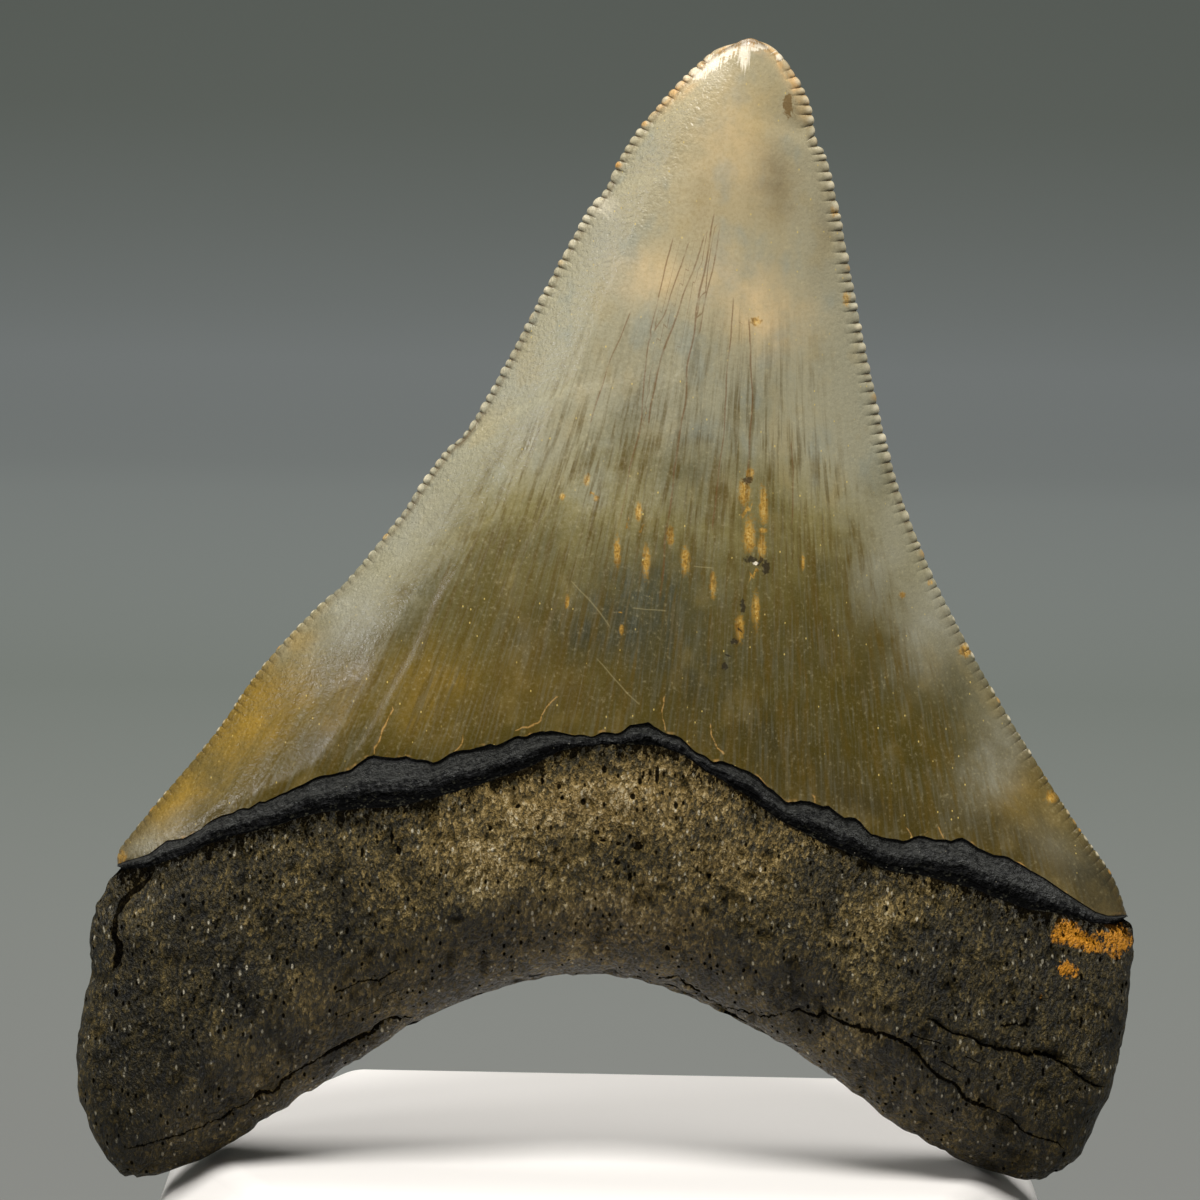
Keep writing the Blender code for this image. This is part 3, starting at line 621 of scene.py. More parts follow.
# Soft patches of colour: middle, half width, half height, lean in degrees and strength
STAINS = {
    "pale": (
        (350, 615, 60, 24, 50, 0.9), (520, 400, 30, 90, 28, 0.6), (415, 520, 70, 26, 52, 0.8),
        (930, 625, 30, 50, -30, 0.8), (985, 760, 28, 50, -30, 0.7), (880, 560, 22, 60, -18, 0.6),
        (150, 838, 40, 12, 35, 0.7), (1050, 850, 40, 18, -40, 0.35), (600, 240, 26, 80, 28, 0.7),
    ),
    "blue": (
        (640, 600, 75, 60, 0, 0.9), (690, 470, 45, 60, 0, 0.45), (420, 600, 60, 26, 50, 0.4),
        (960, 690, 30, 50, -30, 0.45), (700, 655, 90, 30, 0, 0.45), (640, 400, 40, 60, 10, 0.35),
    ),
    "amber": (
        (255, 715, 70, 40, 38, 0.85), (340, 700, 50, 30, 35, 0.35), (180, 800, 45, 16, 38, 0.8),
        (430, 690, 60, 40, 0, 0.5), (255, 655, 22, 30, 40, 0.6), (300, 640, 20, 16, 40, 0.6),
        (1010, 790, 26, 26, 0, 0.45), (540, 690, 60, 30, 0, 0.3),
    ),
    "olive": (
        (830, 640, 80, 90, 0, 0.8), (900, 750, 80, 50, -20, 0.8), (800, 720, 90, 45, -10, 0.7),
        (760, 560, 40, 60, 0, 0.6), (480, 590, 60, 60, 20, 0.45), (560, 640, 70, 45, 0, 0.5),
        (880, 480, 14, 60, -14, 0.35),
    ),
    "smudge": (
        (776, 185, 22, 38, 0, 0.65), (820, 230, 10, 40, -8, 0.35), (800, 108, 8, 14, 0, 0.3),
        (700, 200, 12, 30, 0, 0.2), (520, 640, 30, 40, 10, 0.25),
    ),
    "peach": (
        (762, 316, 42, 32, 0, 0.7), (660, 285, 34, 26, 0, 0.55), (715, 290, 22, 40, 0, 0.4),
        (735, 140, 40, 60, 0, 0.35),
    ),
    "ivory": (
        (700, 74, 22, 12, 35, 0.45), (640, 112, 12, 7, 50, 0.5), (600, 205, 8, 16, 30, 0.3),
        (738, 50, 20, 9, 8, 0.35),
    ),
    "murk": (
        (1092, 888, 50, 26, -38, 1.0), (860, 800, 60, 22, -20, 0.5), (1000, 830, 60, 20, -20, 0.6),
        (560, 700, 70, 20, 0, 0.4), (690, 690, 50, 30, 0, 0.45), (770, 740, 50, 26, -30, 0.5),
        (330, 745, 50, 14, 15, 0.35), (160, 850, 44, 9, 30, 0.6), (610, 640, 40, 30, 0, 0.3),
    ),
    "tan": (
        (600, 795, 180, 50, 0, 0.9), (480, 840, 130, 40, -14, 0.6), (740, 850, 120, 45, 22, 0.6),
        (640, 900, 150, 50, 0, 0.45), (380, 880, 90, 40, -14, 0.35), (880, 900, 90, 26, 16, 0.35),
        (300, 960, 60, 50, 0, 0.2),
    ),
    "soot": ((255, 935, 95, 55, 15, 1.0), (175, 985, 60, 75, 0, 0.6), (330, 1000, 60, 25, 15, 0.4)),
    "ash": (
        (492, 880, 26, 18, 0, 0.7), (295, 970, 22, 18, 0, 0.6), (600, 955, 200, 22, 0, 0.05),
        (400, 1010, 90, 22, -28, 0.5), (290, 1075, 80, 18, -35, 0.5), (830, 1040, 90, 22, 38, 0.45),
        (200, 1130, 60, 24, -30, 0.4), (560, 905, 40, 24, 0, 0.3), (955, 1110, 50, 18, 38, 0.4),
    ),
    "orange": (
        (1062, 928, 20, 17, 0, 1.0), (1082, 938, 14, 14, 0, 0.9), (1110, 936, 22, 13, -8, 0.9),
        (1057, 962, 9, 9, 0, 0.9), (1108, 950, 10, 9, 0, 0.6), (1040, 988, 4, 9, 0, 0.4),
    ),
}  # fmt: skip

# Small spots: middle, then half width and half height
SPOTS = {
    "rust": (
        (748, 475, 4, 5), (742, 493, 5, 12), (747, 538, 6, 17), (617, 553, 3, 14), (645, 563, 3.5, 15),
        (684, 561, 4, 14), (638, 513, 3, 8), (587, 482, 3, 5), (563, 498, 2.5, 3), (596, 500, 2.5, 3),
        (753, 609, 4, 17), (711, 586, 3, 12), (568, 603, 2, 6), (621, 629, 2, 5), (800, 563, 2, 8),
        (755, 325, 5, 5), (846, 300, 4, 7), (835, 212, 5, 6), (965, 650, 6, 6), (1050, 797, 6, 6),
        (122, 858, 6, 8), (930, 583, 3, 3), (900, 595, 3, 3), (384, 535, 4, 4),
    ),
    "amber_spot": ((761, 506, 4, 17), (759, 548, 4, 12), (669, 538, 3, 9), (737, 629, 4, 13)),
    "dark_spot": (
        (787.5, 108.5, 5, 12), (745, 482, 5, 4), (748, 560, 6, 4), (763, 567, 4, 8), (740, 606, 3, 6),
        (732, 641, 4, 3), (722, 665, 3, 3), (703, 63, 2, 3),
    ),
    # Pale chips at the tip; the last spot is a painted glint beside the dark spots
    "chip_and_glint": (
        (743, 58, 6, 16), (729, 54, 4, 7), (713, 65, 8, 9), (698, 76, 6, 7), (761, 49, 8, 3),
        (779, 58, 4, 4), (753, 564, 3, 1.5),
    ),
    "hole": HOLES,
}  # fmt: skip
SPOT_LIMIT = 3.5
SPOT_FADE = 0.5

# Fine lines in the enamel: half width in millimetres, then the line. Golden cracks rise from its lower edge
GOLD_CRACKS = (
    (0.03, ((377, 752), (386, 730), (396, 706))), (0.02, ((455, 751), (461, 742), (467, 732))),
    (0.03, ((518, 729), (541, 716), (559, 696))), (0.02, ((662, 691), (660, 708), (667, 727))),
    (0.03, ((708, 719), (712, 738), (721, 753))), (0.02, ((808, 790), (812, 802))),
    (0.02, ((900, 822), (908, 836))), (0.02, ((930, 820), (938, 834))),
)  # fmt: skip
SCRATCHES = (
    (0.015, ((596, 655), (620, 683), (640, 706))), (0.015, ((628, 608), (668, 611))),
    (0.015, ((568, 578), (588, 598), (612, 630))),
    (0.015, ((690, 566), (712, 568))),
)  # fmt: skip
GROWTH_LINES = (
    (0.05, ((714, 212), (700, 290), (691, 343), (684, 400), (669, 503), (658, 603))),
    (0.03, ((674, 234), (658, 300), (647, 360), (641, 420), (617, 529))),
    (0.04, ((704, 236), (680, 310), (662, 360), (646, 430))),
    (0.03, ((719, 232), (705, 299), (697, 340))),
    (0.03, ((688, 242), (664, 320), (650, 345))),
    (0.025, ((632, 312), (608, 370), (588, 430))),
    (0.03, ((732, 296), (728, 360), (722, 430), (708, 540))),
    (0.04, ((747, 318), (750, 400), (747, 450), (741, 520))),
    (0.025, ((790, 440), (789, 530))),
)  # fmt: skip
LINES = {
    "crack": (CRACK_WAVER, CRACKS),
    "gold_crack": (CRACK_WAVER, GOLD_CRACKS),
    "scratch": (SLIGHT_WAVER, SCRATCHES),
    "growth_line": (SLIGHT_WAVER, GROWTH_LINES),
}

# Relief of the surface: size of its lumps across and up, height, and where its noise starts
ROOT_GRAIN = (
    (3.2, 3.6, 0.16, 11), (1.2, 1.8, 0.11, 12), (0.6, 0.9, 0.09, 13), (0.38, 0.5, 0.07, 14),
)  # fmt: skip
COLLAR_GRAIN = ((1.6, 0.9, 0.08, 21), (0.7, 0.45, 0.05, 22), (0.45, 0.3, 0.03, 23))
CROWN_GRAIN = ((2.6, 3.4, 0.02, 31), (1.1, 1.6, 0.004, 32))
COLLAR_GROOVE = ((0.96, 0.0), (1.0, -0.2), (1.1, -0.6), (1.22, -0.7), (1.36, -0.2), (1.5, 0.1), (1.8, 0.0))
CHIP_START = 1.99
CHIP_REACH = 0.02
CHIP_DEPTH = 0.28
CHIP_NOISE = (1.7, 40.0, 51)
ROOT_MARKS_END = 1.1

# Rises where the grain of each part starts or ends, and how far it takes to fade
ROOT_GRAIN_END = 1.02
COLLAR_GRAIN_START = 0.98
ROOT_FADE = 0.02
CROWN_GRAIN_START = 1.95
CROWN_FADE = 0.03


def grain(waves, places):
    """A sum of noises of different sizes."""
    return sum(height * noise(places, width, tall, seed) for width, tall, height, seed in waves)


def oval_offset(places, px, py, half_width, half_height, lean=0.0):
    """The way to each place from a leaning oval's middle, across and up it, in its half widths."""
    middle = np.array(on_tooth(px, py))
    turn = math.radians(lean) + ROLL
    gap = (places - middle) / PIXEL
    wide = gap[:, 0] * math.cos(turn) + gap[:, 1] * math.sin(turn)
    tall = -gap[:, 0] * math.sin(turn) + gap[:, 1] * math.cos(turn)
    return np.stack([wide / half_width, tall / half_height], -1)


def oval_gap(places, *oval):
    """How far out each place is from a leaning oval's middle, where 1 is on the oval."""
    return np.linalg.norm(oval_offset(places, *oval), axis=1)


def nearest_spot(places, spots):
    """The way from the nearest spot's middle, across and up, with how far that is in between."""
    found = np.full((len(places), 3), FAR)
    for spot in spots:
        offset = oval_offset(places, *spot)
        far = np.linalg.norm(offset, axis=1)
        closer = far < found[:, 1]
        found[closer] = np.column_stack([offset[:, 0], far, offset[:, 1]])[closer]
    return found


def stain(places, ovals):
    """How strong a stain is at each place. Its outline wavers."""
    places = places + wavering(places, STAIN_WAVER)
    amount = np.zeros(len(places))
    for *oval, strength in ovals:
        amount = np.maximum(amount, strength * np.exp(-(oval_gap(places, *oval) ** 2)))
    return amount


def wavering(places, waves):
    """Small shifts of places, which make a straight mark waver."""
    return sum(
        size * np.stack([noise(places, pitch, pitch, 41), noise(places, pitch, pitch, 42)], -1)
        for pitch, size in waves
    )


def line_gap(places, line, waver):
    """The distance to a line, less than nothing on its right, and how whole the line is there."""
    line = np.array([on_tooth(*pixel) for pixel in line])
    places = places + wavering(places, waver)
    distance, near, reach = nearest_part(line, places)
    step, gap = line[near + 1] - line[near], places - line[near]
    side = step[:, 0] * gap[:, 1] - step[:, 1] * gap[:, 0]
    known = length_share(line)
    share = known[near] + reach * (known[near + 1] - known[near])
    whole = np.clip(np.minimum(share, 1 - share) / LINE_TAPER, 0, 1)
    return distance * np.where(side < 0, -1, 1), whole


def nearest_line(places, waver, lines):
    """The distance to the nearest line, less than nothing on its right, and its half width there."""
    found = np.zeros((len(places), 3))
    found[:, 0] = FAR
    for *_, half_width, line in lines:
        gap, whole = line_gap(places, line, waver)
        closer = np.abs(gap) < np.minimum(np.abs(found[:, 0]), LINE_REACH)
        found[closer, 0] = gap[closer]
        found[closer, 1] = (half_width * whole)[closer]
    return found


def relief_of(places, growth, fronts):
    """How far the finished surface stands out from the smooth one, and how much painted shade darkens its
    hollows.
    """
    rise = growth[:, 1]
    on_root = np.clip((ROOT_GRAIN_END - rise) / ROOT_FADE, 0, 1)
    below_crown = np.clip((CROWN_GRAIN_START - rise) / CROWN_FADE, 0, 1)
    on_collar = np.clip((rise - COLLAR_GRAIN_START) / ROOT_FADE, 0, 1) * below_crown
    on_crown = np.clip((rise - CROWN_GRAIN_START) / CROWN_FADE, 0, 1)
    relief = on_root * grain(ROOT_GRAIN, places) + on_collar * grain(COLLAR_GRAIN, places)
    relief += on_crown * grain(CROWN_GRAIN, places)
    front = fronts.astype(float)
    groove = np.interp(rise, *zip(*COLLAR_GROOVE)) * (1 - on_crown) * front
    near_root = np.flatnonzero(fronts & (rise < ROOT_MARKS_END))
    wide, tall, depth, seed = POCKS
    pocks = np.clip((noise(places, wide, tall, seed) - POCK_START) / (1 - POCK_START), 0, 1) * on_root
    relief -= pocks * depth
    # Painted shade: the pocks are darkened in colour as well as sunk
    shade = np.clip(pocks * POCK_SHADE, 0, MOST_SHADE)
    for px, py, half_width, half_height in HOLES:
        spread = oval_gap(places[near_root], px, py, half_width * HOLE_SPREAD, half_height * HOLE_SPREAD)
        relief[near_root] -= np.exp(-(spread**2)) * HOLE_DEPTH
    for depth, half_width, line in CRACKS:
        gap, whole = line_gap(places[near_root], line, CRACK_WAVER)
        relief[near_root] -= depth * np.exp(-((gap / (CRACK_SPREAD + half_width)) ** 2)) * whole
    chips = np.clip(noise(places, *CHIP_NOISE) * 2 - 0.5, 0, 1)
    at_foot = np.clip(1 - (rise - CHIP_START) / CHIP_REACH, 0, 1) * on_crown * front
    relief -= at_foot * chips * CHIP_DEPTH
    return relief + groove, shade


def set_attribute(data, name, values):
    """Writes one value or vector for each vertex."""
    kind, field = ("FLOAT", "value") if values.ndim == 1 else ("FLOAT_VECTOR", "vector")
    made = data.attributes.new(name, kind, "POINT")
    made.data.foreach_set(field, np.ascontiguousarray(values, np.float32).ravel())


def add_object(name, data, materials):
    """Puts a finished mesh in the scene as one object."""
    for material in materials:
        data.materials.append(material)
    body = bpy.data.objects.new(name, data)
    bpy.context.scene.collection.objects.link(body)
    return body


def make_tooth():
    """Root, collar and serrated crown in one closed surface."""
    shape = ToothMesh()
    for face in ("front", "back"):
        chain, chain_at = shape.body(face)
        shape.edge(chain, chain_at, face)
    places = np.array(shape.places)
    growth = np.array(shape.growth)
    fronts = np.array(shape.fronts)
    data = bpy.data.meshes.new("fossil_tooth")
    data.from_pydata(upright(places), [], shape.faces)
    data.polygons.foreach_set("material_index", shape.parts)
    mesh = bmesh.new()
    mesh.from_mesh(data)
    bmesh.ops.recalc_face_normals(mesh, faces=mesh.faces)
    mesh.to_mesh(data)
    mesh.free()
    plane = places[:, ::2]
    relief, shade = relief_of(plane, growth, fronts)
    normals = np.zeros(len(places) * 3, np.float32)
    data.vertices.foreach_get("normal", normals)
    moved = upright(places) + normals.reshape(-1, 3) * relief[:, None] * MM
    data.vertices.foreach_set("co", np.ascontiguousarray(moved, np.float32).ravel())
    data.update()
    outline = np.minimum(distance_to(OUTLINE[0], plane), distance_to(OUTLINE[1], plane))
    bead, bead_tint = np.array(shape.beads).T
    marks = {"place": places, "grow": np.column_stack([growth, outline])}
    marks.update(bead=bead, bead_tint=bead_tint, shade=shade)
    for name, ovals in STAINS.items():
        marks[name] = np.where(fronts, stain(plane, ovals), 0)
    hidden = ~fronts[:, None]
    for name, spots in SPOTS.items():
        marks[name] = np.where(hidden, FAR, nearest_spot(plane, spots))
    for name, (waver, lines) in LINES.items():
        marks[name] = np.where(hidden, 0, nearest_line(plane, waver, lines))
    for name, values in marks.items():
        set_attribute(data, name, values)
    data.shade_smooth()
    data.set_sharp_from_angle(angle=CREASE)
    tooth = add_object("fossil_tooth", data, (enamel_look(), collar_look(), root_look()))
    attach(tooth, "root")
    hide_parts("tooth")


def by_node(kind, operation):
    """A way to work on a value with one node."""

    def work(self, *others):
        return self.look.value(kind, dict(enumerate((self, *others))), operation=operation)

    return work


class Value:
    """A number, vector or colour at each place on a surface, with short ways to work on it."""

    __add__ = by_node("Math", "ADD")
    __mul__ = by_node("Math", "MULTIPLY")
    __truediv__ = by_node("Math", "DIVIDE")
    __abs__ = by_node("Math", "ABSOLUTE")
    most = by_node("Math", "MAXIMUM")
    least = by_node("Math", "MINIMUM")

    def __init__(self, look, socket):
        self.look = look
        self.socket = socket

    def __sub__(self, number):
        return self + -number

    def parts(self):
        """The three numbers of a vector or colour."""
        node = self.look.node("SeparateXYZ", {0: self})
        return [Value(self.look, socket) for socket in node.outputs]

    def stretch(self, *scale):
        return self.look.value("VectorMath", {0: self, 1: scale}, operation="MULTIPLY")

    def noise(self, scale, detail=3.0, roughness=0.55, distortion=0.0):
        """Soft lumps, in numbers round a half."""
        inputs = {"Vector": self, "Scale": scale, "Detail": detail, "Roughness": roughness}
        return self.look.value("TexNoise", {**inputs, "Distortion": distortion}, "Fac")

    def cells(self, scale):
        """How far a place is from the middle of its cell, and one random number for the cell."""
        node = self.look.node("TexVoronoi", {"Vector": self, "Scale": scale})
        distance, colour = (Value(self.look, node.outputs[name]) for name in ("Distance", "Color"))
        return distance, colour.parts()[0]

    def grains(self, scale):
        return self.cells(scale)[1]

    def specks(self, scale, size, chosen):
        """Small round spots in some of the cells of this scale."""
        distance, random = self.cells(scale)
        return distance.step(size, size * 0.5) * random.step(chosen, chosen * 0.8)

    def step(self, start, end, low=0.0, high=1.0, kind="SMOOTHSTEP"):
        """Goes smoothly from low to high as this goes from start to end."""
        inputs = {0: self, 1: start, 2: end, 3: low, 4: high}
        return self.look.value("MapRange", inputs, interpolation_type=kind)

    def level(self, *ends):
        """Goes evenly, where step goes smoothly."""
        return self.step(*ends, kind="LINEAR")

    def ramp(self, stops):
        """A colour for each value, between stops of place and colour."""
        node = self.look.node("ValToRGB", {0: self})
        band = node.color_ramp.elements
        while len(band) < len(stops):
            band.new(0.5)
        for element, (place, colour) in zip(band, stops):
            element.position = place
            element.color = linear(colour)
        return Value(self.look, node.outputs[0])

    def bump(self, distance):
        """The tilt of the surface where this is its height."""
        return self.look.value("Bump", {"Height": self, "Distance": distance * MM, "Strength": 1.0})


class Look:
    """One material, whose colour is painted in layers over its first."""

    MIX_COLOURS = (6, 7)
    MIXED_COLOUR = 2

    def __init__(self, name, colour=None):
        self.material = bpy.data.materials.new(name)
        self.material.use_nodes = True
        self.tree = self.material.node_tree
        self.colour = colour

    def feed(self, socket, value):
        if isinstance(value, Value):
            self.tree.links.new(value.socket, socket)
        else:
            socket.default_value = value

    def node(self, kind, inputs, **settings):
        node = self.tree.nodes.new("ShaderNode" + kind)
        for name, value in settings.items():
            setattr(node, name, value)
        for socket, value in inputs.items():
            self.feed(node.inputs[socket], value)
        return node

    def value(self, kind, inputs, output=0, **settings):
        return Value(self, self.node(kind, inputs, **settings).outputs[output])

    def number(self, name):
        return self.value("Attribute", {}, "Fac", attribute_name=name)

    def vector(self, name):
        return self.value("Attribute", {}, "Vector", attribute_name=name)

    def join(self, *parts):
        return self.value("CombineXYZ", dict(enumerate(parts)))

    def paint(self, tint, share):
        """Lays a tint over the colour so far, as strongly as its share says."""
        colours = [c if isinstance(c, Value) else linear(c) for c in (self.colour, tint)]
        inputs = {0: share, **dict(zip(self.MIX_COLOURS, colours))}
        self.colour = self.value("Mix", inputs, self.MIXED_COLOUR, data_type="RGBA")

    def spot_gap(self, name, uneven):
        """How far out a place is from the nearest spot's middle, where 1 is on its uneven rim."""
        away = self.vector(name)
        far = away.parts()[1].step(SPOT_LIMIT, SPOT_LIMIT + SPOT_FADE, 0.0, FAR)
        flat = away.stretch(1.0, 0.0, 1.0)
        return self.value("VectorMath", {0: flat}, "Value", operation="LENGTH") + far + uneven

    def line(self, name, waver):
        """How strong the nearest fine line is, with a slight waver."""
        gap, width, _ = self.vector(name).parts()
        gap = abs(gap + waver) + width * -1.0
        return gap.step(*LINE_SOFTNESS) * width.step(*LEAST_LINE)

    def finished(self, inputs):
        """The material, with its colour and these inputs on its shader."""
        shader = self.tree.nodes["Principled BSDF"]
        for name, value in {"Base Color": self.colour, **inputs}.items():
            self.feed(shader.inputs[name], value)
        return self.material


def linear(colour):
    """A colour given as 0 to 255 on a screen, as light."""
    parts = [part / 255 for part in colour]
    light = [((p + 0.055) / 1.055) ** 2.4 if p > 0.04045 else p / 12.92 for p in parts]
    return (*light, 1.0)


# Colours, as they show on a screen
CROWN_HEIGHTS = (24.0, 102.0)
CROWN_COLOURS = (
    (0.0, (74, 58, 12)), (0.20, (68, 57, 12)), (0.33, (84, 72, 26)), (0.45, (118, 108, 66)),
    (0.56, (140, 134, 108)), (0.68, (146, 137, 108)), (0.82, (152, 138, 104)), (0.96, (168, 148, 102)),
)  # fmt: skip
EDGE_GREY = (142, 138, 116)
BLUE_GREY = (48, 53, 44)
MIST = (126, 130, 118)
HONEY = (150, 128, 76)
IVORY = (236, 224, 200)
ENAMEL_STAINS = (
    ("olive", (58, 49, 6), 0.85), ("blue", BLUE_GREY, 0.85), ("amber", (136, 106, 34), 0.85),
    ("pale", (138, 135, 118), 0.75), ("peach", (204, 174, 126), 0.9), ("smudge", (100, 86, 60), 0.9),
    ("ivory", IVORY, 0.9), ("murk", (42, 39, 26), 0.8),
)  # fmt: skip
RUSTS = ((0.35, (134, 98, 34)), (0.5, (176, 132, 50)), (0.65, (206, 168, 90)))
RUST_DARK = (92, 64, 20)
TIP_ORANGE = (206, 158, 96)
STREAK_BROWN = (78, 62, 16)
STREAK_GREY = (128, 130, 116)
GROWTH_LINE = (96, 66, 34)
SPECK_LIGHT = (206, 190, 138)
SPECK_DARK = (56, 46, 26)
SPECK_GOLD = (198, 172, 96)
SPOT_DARKS = ((0.0, (34, 28, 18)), (1.0, (106, 80, 40)))
GOLD_LINE = (206, 158, 90)
# Cream and brown of the serrations; the brightest creams also stand in for glints, as painted highlight
BEAD_TINTS_AND_GLINTS = (
    (0.0, (220, 208, 178)), (0.4, (170, 160, 134)), (0.75, (220, 208, 178)),
    (0.9, (166, 136, 86)), (0.98, (196, 138, 52)),
)  # fmt: skip
# Brown staining in the notches, darkened as painted shade
NOTCH_BROWN_AND_SHADE = (78, 58, 30)
COLLAR_BLACK = (4, 4, 4)
# Grey of the painted sheen on the collar's upper band
COLLAR_SHEEN_GREY = (64, 64, 60)
COLLAR_CRUMB = (84, 82, 66)
# Near black of the painted shade in the root's pits, pocks and holes, and of its cracks and the fringe
# below the collar
ROOT_PIT = (7, 6, 5)
ROOT_TONES = (
    (0.0, (8, 7, 4)), (0.22, (24, 21, 10)), (0.38, (45, 39, 20)), (0.55, (72, 61, 31)),
    (0.70, (106, 89, 48)), (0.84, (146, 127, 82)), (1.0, (196, 182, 146)),
)  # fmt: skip
ROOT_TONE = 0.4
ROOT_FLECK = (206, 196, 170)
ROOT_GOLD = (132, 100, 44)
ASH = (104, 96, 78)
ORANGE = (198, 130, 20)
STAND_WHITE = (242, 237, 231)
STAND_CLOUD = (231, 226, 219)

# The enamel's streaks spread from a place above the tip, and have their true width this far below it
FAN_CENTRE = (780, -300)
FAN_RADIUS = 79.0


def enamel_look():
    """Fossil enamel: beige tip, olive body with fine streaks, pale edges, cream serrations with painted
    highlights on their crests and painted shade in their notches.
    """
    look = Look("fossil_enamel")
    place = look.vector("place")
    x, depth, up = place.parts()
    share, rise, edge = look.vector("grow").parts()
    cloud = place.noise(0.13)
    haze = place.stretch(1.0, 1.0, 0.7).noise(0.27)
    mottle = place.noise(0.55, 3.0, 0.6)
    fine = place.noise(3.2, 2.5, 0.7)
    front = depth.step(-0.1, 0.1)
    height = up + (cloud - 0.5) * 16.0
    look.colour = height.level(*CROWN_HEIGHTS).ramp(CROWN_COLOURS)
    ragged = edge + (mottle - 0.5) * 5.0
    look.paint(EDGE_GREY, ragged.step(8.5, 1.5) * height.step(42.0, 52.0, 0.1, 0.6))
    look.paint(MIST, haze.step(0.52, 0.7, 0.0, 0.5) * height.step(56.0, 68.0, 0.1, 1.0))
    look.paint(HONEY, haze.step(0.46, 0.32, 0.0, 0.2))

    centre_x, centre_up = on_tooth(*FAN_CENTRE)
    fan = (x - centre_x) / (up * -1.0 + centre_up) * FAN_RADIUS
    streaks = look.join(fan * 2.0, depth, up * 0.09).noise(1.0, 2.0, 0.6)
    fine_streaks = look.join(fan * 4.6, depth, up * 0.22).noise(1.0, 2.0)
    body = ragged.step(1.5, 8.0) * height.step(80.0, 62.0)
    look.paint(BLUE_GREY, cloud.step(0.48, 0.36, 0.0, 0.15) * body)
    for name, tint, strength in ENAMEL_STAINS:
        look.paint(tint, look.number(name) * mottle.step(0.2, 0.75, 0.5, 1.25) * strength)
    look.paint(STREAK_BROWN, streaks.step(0.44, 0.66) * (body * mottle.step(0.3, 0.7, 0.45, 0.85)))
    light = fine_streaks.step(0.46, 0.7) * ragged.step(1.0, 6.0) * height.step(84.0, 70.0)
    look.paint(STREAK_GREY, light * 0.12)
    waver = (mottle - 0.5) * 0.12
    broken = mottle.step(0.3, 0.55, 0.3, 0.9)
    look.paint(GROWTH_LINE, look.line("growth_line", waver) * 0.75 * broken * front)

    ragged_rim = (mottle - 0.5) * 1.2 + (fine - 0.5) * 2.2
    rusty = look.spot_gap("rust", ragged_rim).least(look.spot_gap("amber_spot", ragged_rim))
    rusty = rusty.step(1.4, 0.5) * fine_streaks.step(0.3, 0.55, 0.45, 1.0)
    look.paint(fine.ramp(RUSTS), rusty * 0.75)
    look.paint(RUST_DARK, rusty.step(0.1, 0.7) * streaks.step(0.5, 0.6) * 0.55)
    tip_rim = up.step(93.0, 96.0) * edge.step(1.8, 0.4)
    look.paint(TIP_ORANGE, tip_rim * mottle.step(0.4, 0.6, 0.2, 0.65))
    # Pale chips at the tip, and one painted glint
    look.paint(IVORY, look.spot_gap("chip_and_glint", (fine_streaks - 0.5) * 2.2).step(1.2, 0.7) * 0.8)
    spotted = look.spot_gap("dark_spot", ragged_rim).step(1.2, 0.8)
    look.paint(up.level(60.0, 92.0).ramp(SPOT_DARKS), spotted * 0.8)
    look.paint(SPECK_DARK, fine.step(0.5, 0.3, 0.0, 0.08))
    look.paint(SPECK_LIGHT, fine.step(0.56, 0.76, 0.0, 0.14))
    spread = cloud.step(0.35, 0.55, 0.25, 0.75)
    look.paint(SPECK_GOLD, place.stretch(1.3, 1.0, 0.8).specks(1.3, 0.13, 0.3) * spread)
    look.paint(SPECK_LIGHT, look.line("scratch", waver) * 0.3)
    golden = look.line("gold_crack", waver) * fine.step(0.36, 0.5, 0.2, 1.0)
    foot = rise.step(2.004, 2.001) * mottle.step(0.54, 0.7)
    look.paint(GOLD_LINE, golden.most(foot * front) * 0.5)

    bead = look.number("bead")
    serrated = rise.step(2.35, 2.5)
    dots = edge.step(0.55, 0.2) * bead.step(0.6, 0.85)
    ridges = edge.step(1.1, 0.3) * bead.step(0.3, 0.8) * serrated
    # Pale enamel of the serrations, lightened on their crests as painted highlight
    look.paint(look.number("bead_tint").ramp(BEAD_TINTS_AND_GLINTS), ridges.most(dots) * 0.65)
    # Painted shade, with brown staining, in the notches between serrations
    notch = bead.step(0.42, 0.12) * edge.step(0.9, 0.35) * serrated.step(0.0, 1.0, 0.2, 0.7)
    look.paint(NOTCH_BROWN_AND_SHADE, notch)
    wrinkles = place.noise(2.3, 2.0, 0.6) * edge.step(8.0, 1.5, 0.1, 1.0) * share.step(0.5, 0.25, 0.3, 1.0)
    return look.finished({
        "Roughness": fine.step(0.3, 0.7, 0.2, 0.4),
        "Normal": (wrinkles + fine * 0.06).bump(0.15),
        "Specular IOR Level": 0.36,
    })  # fmt: skip


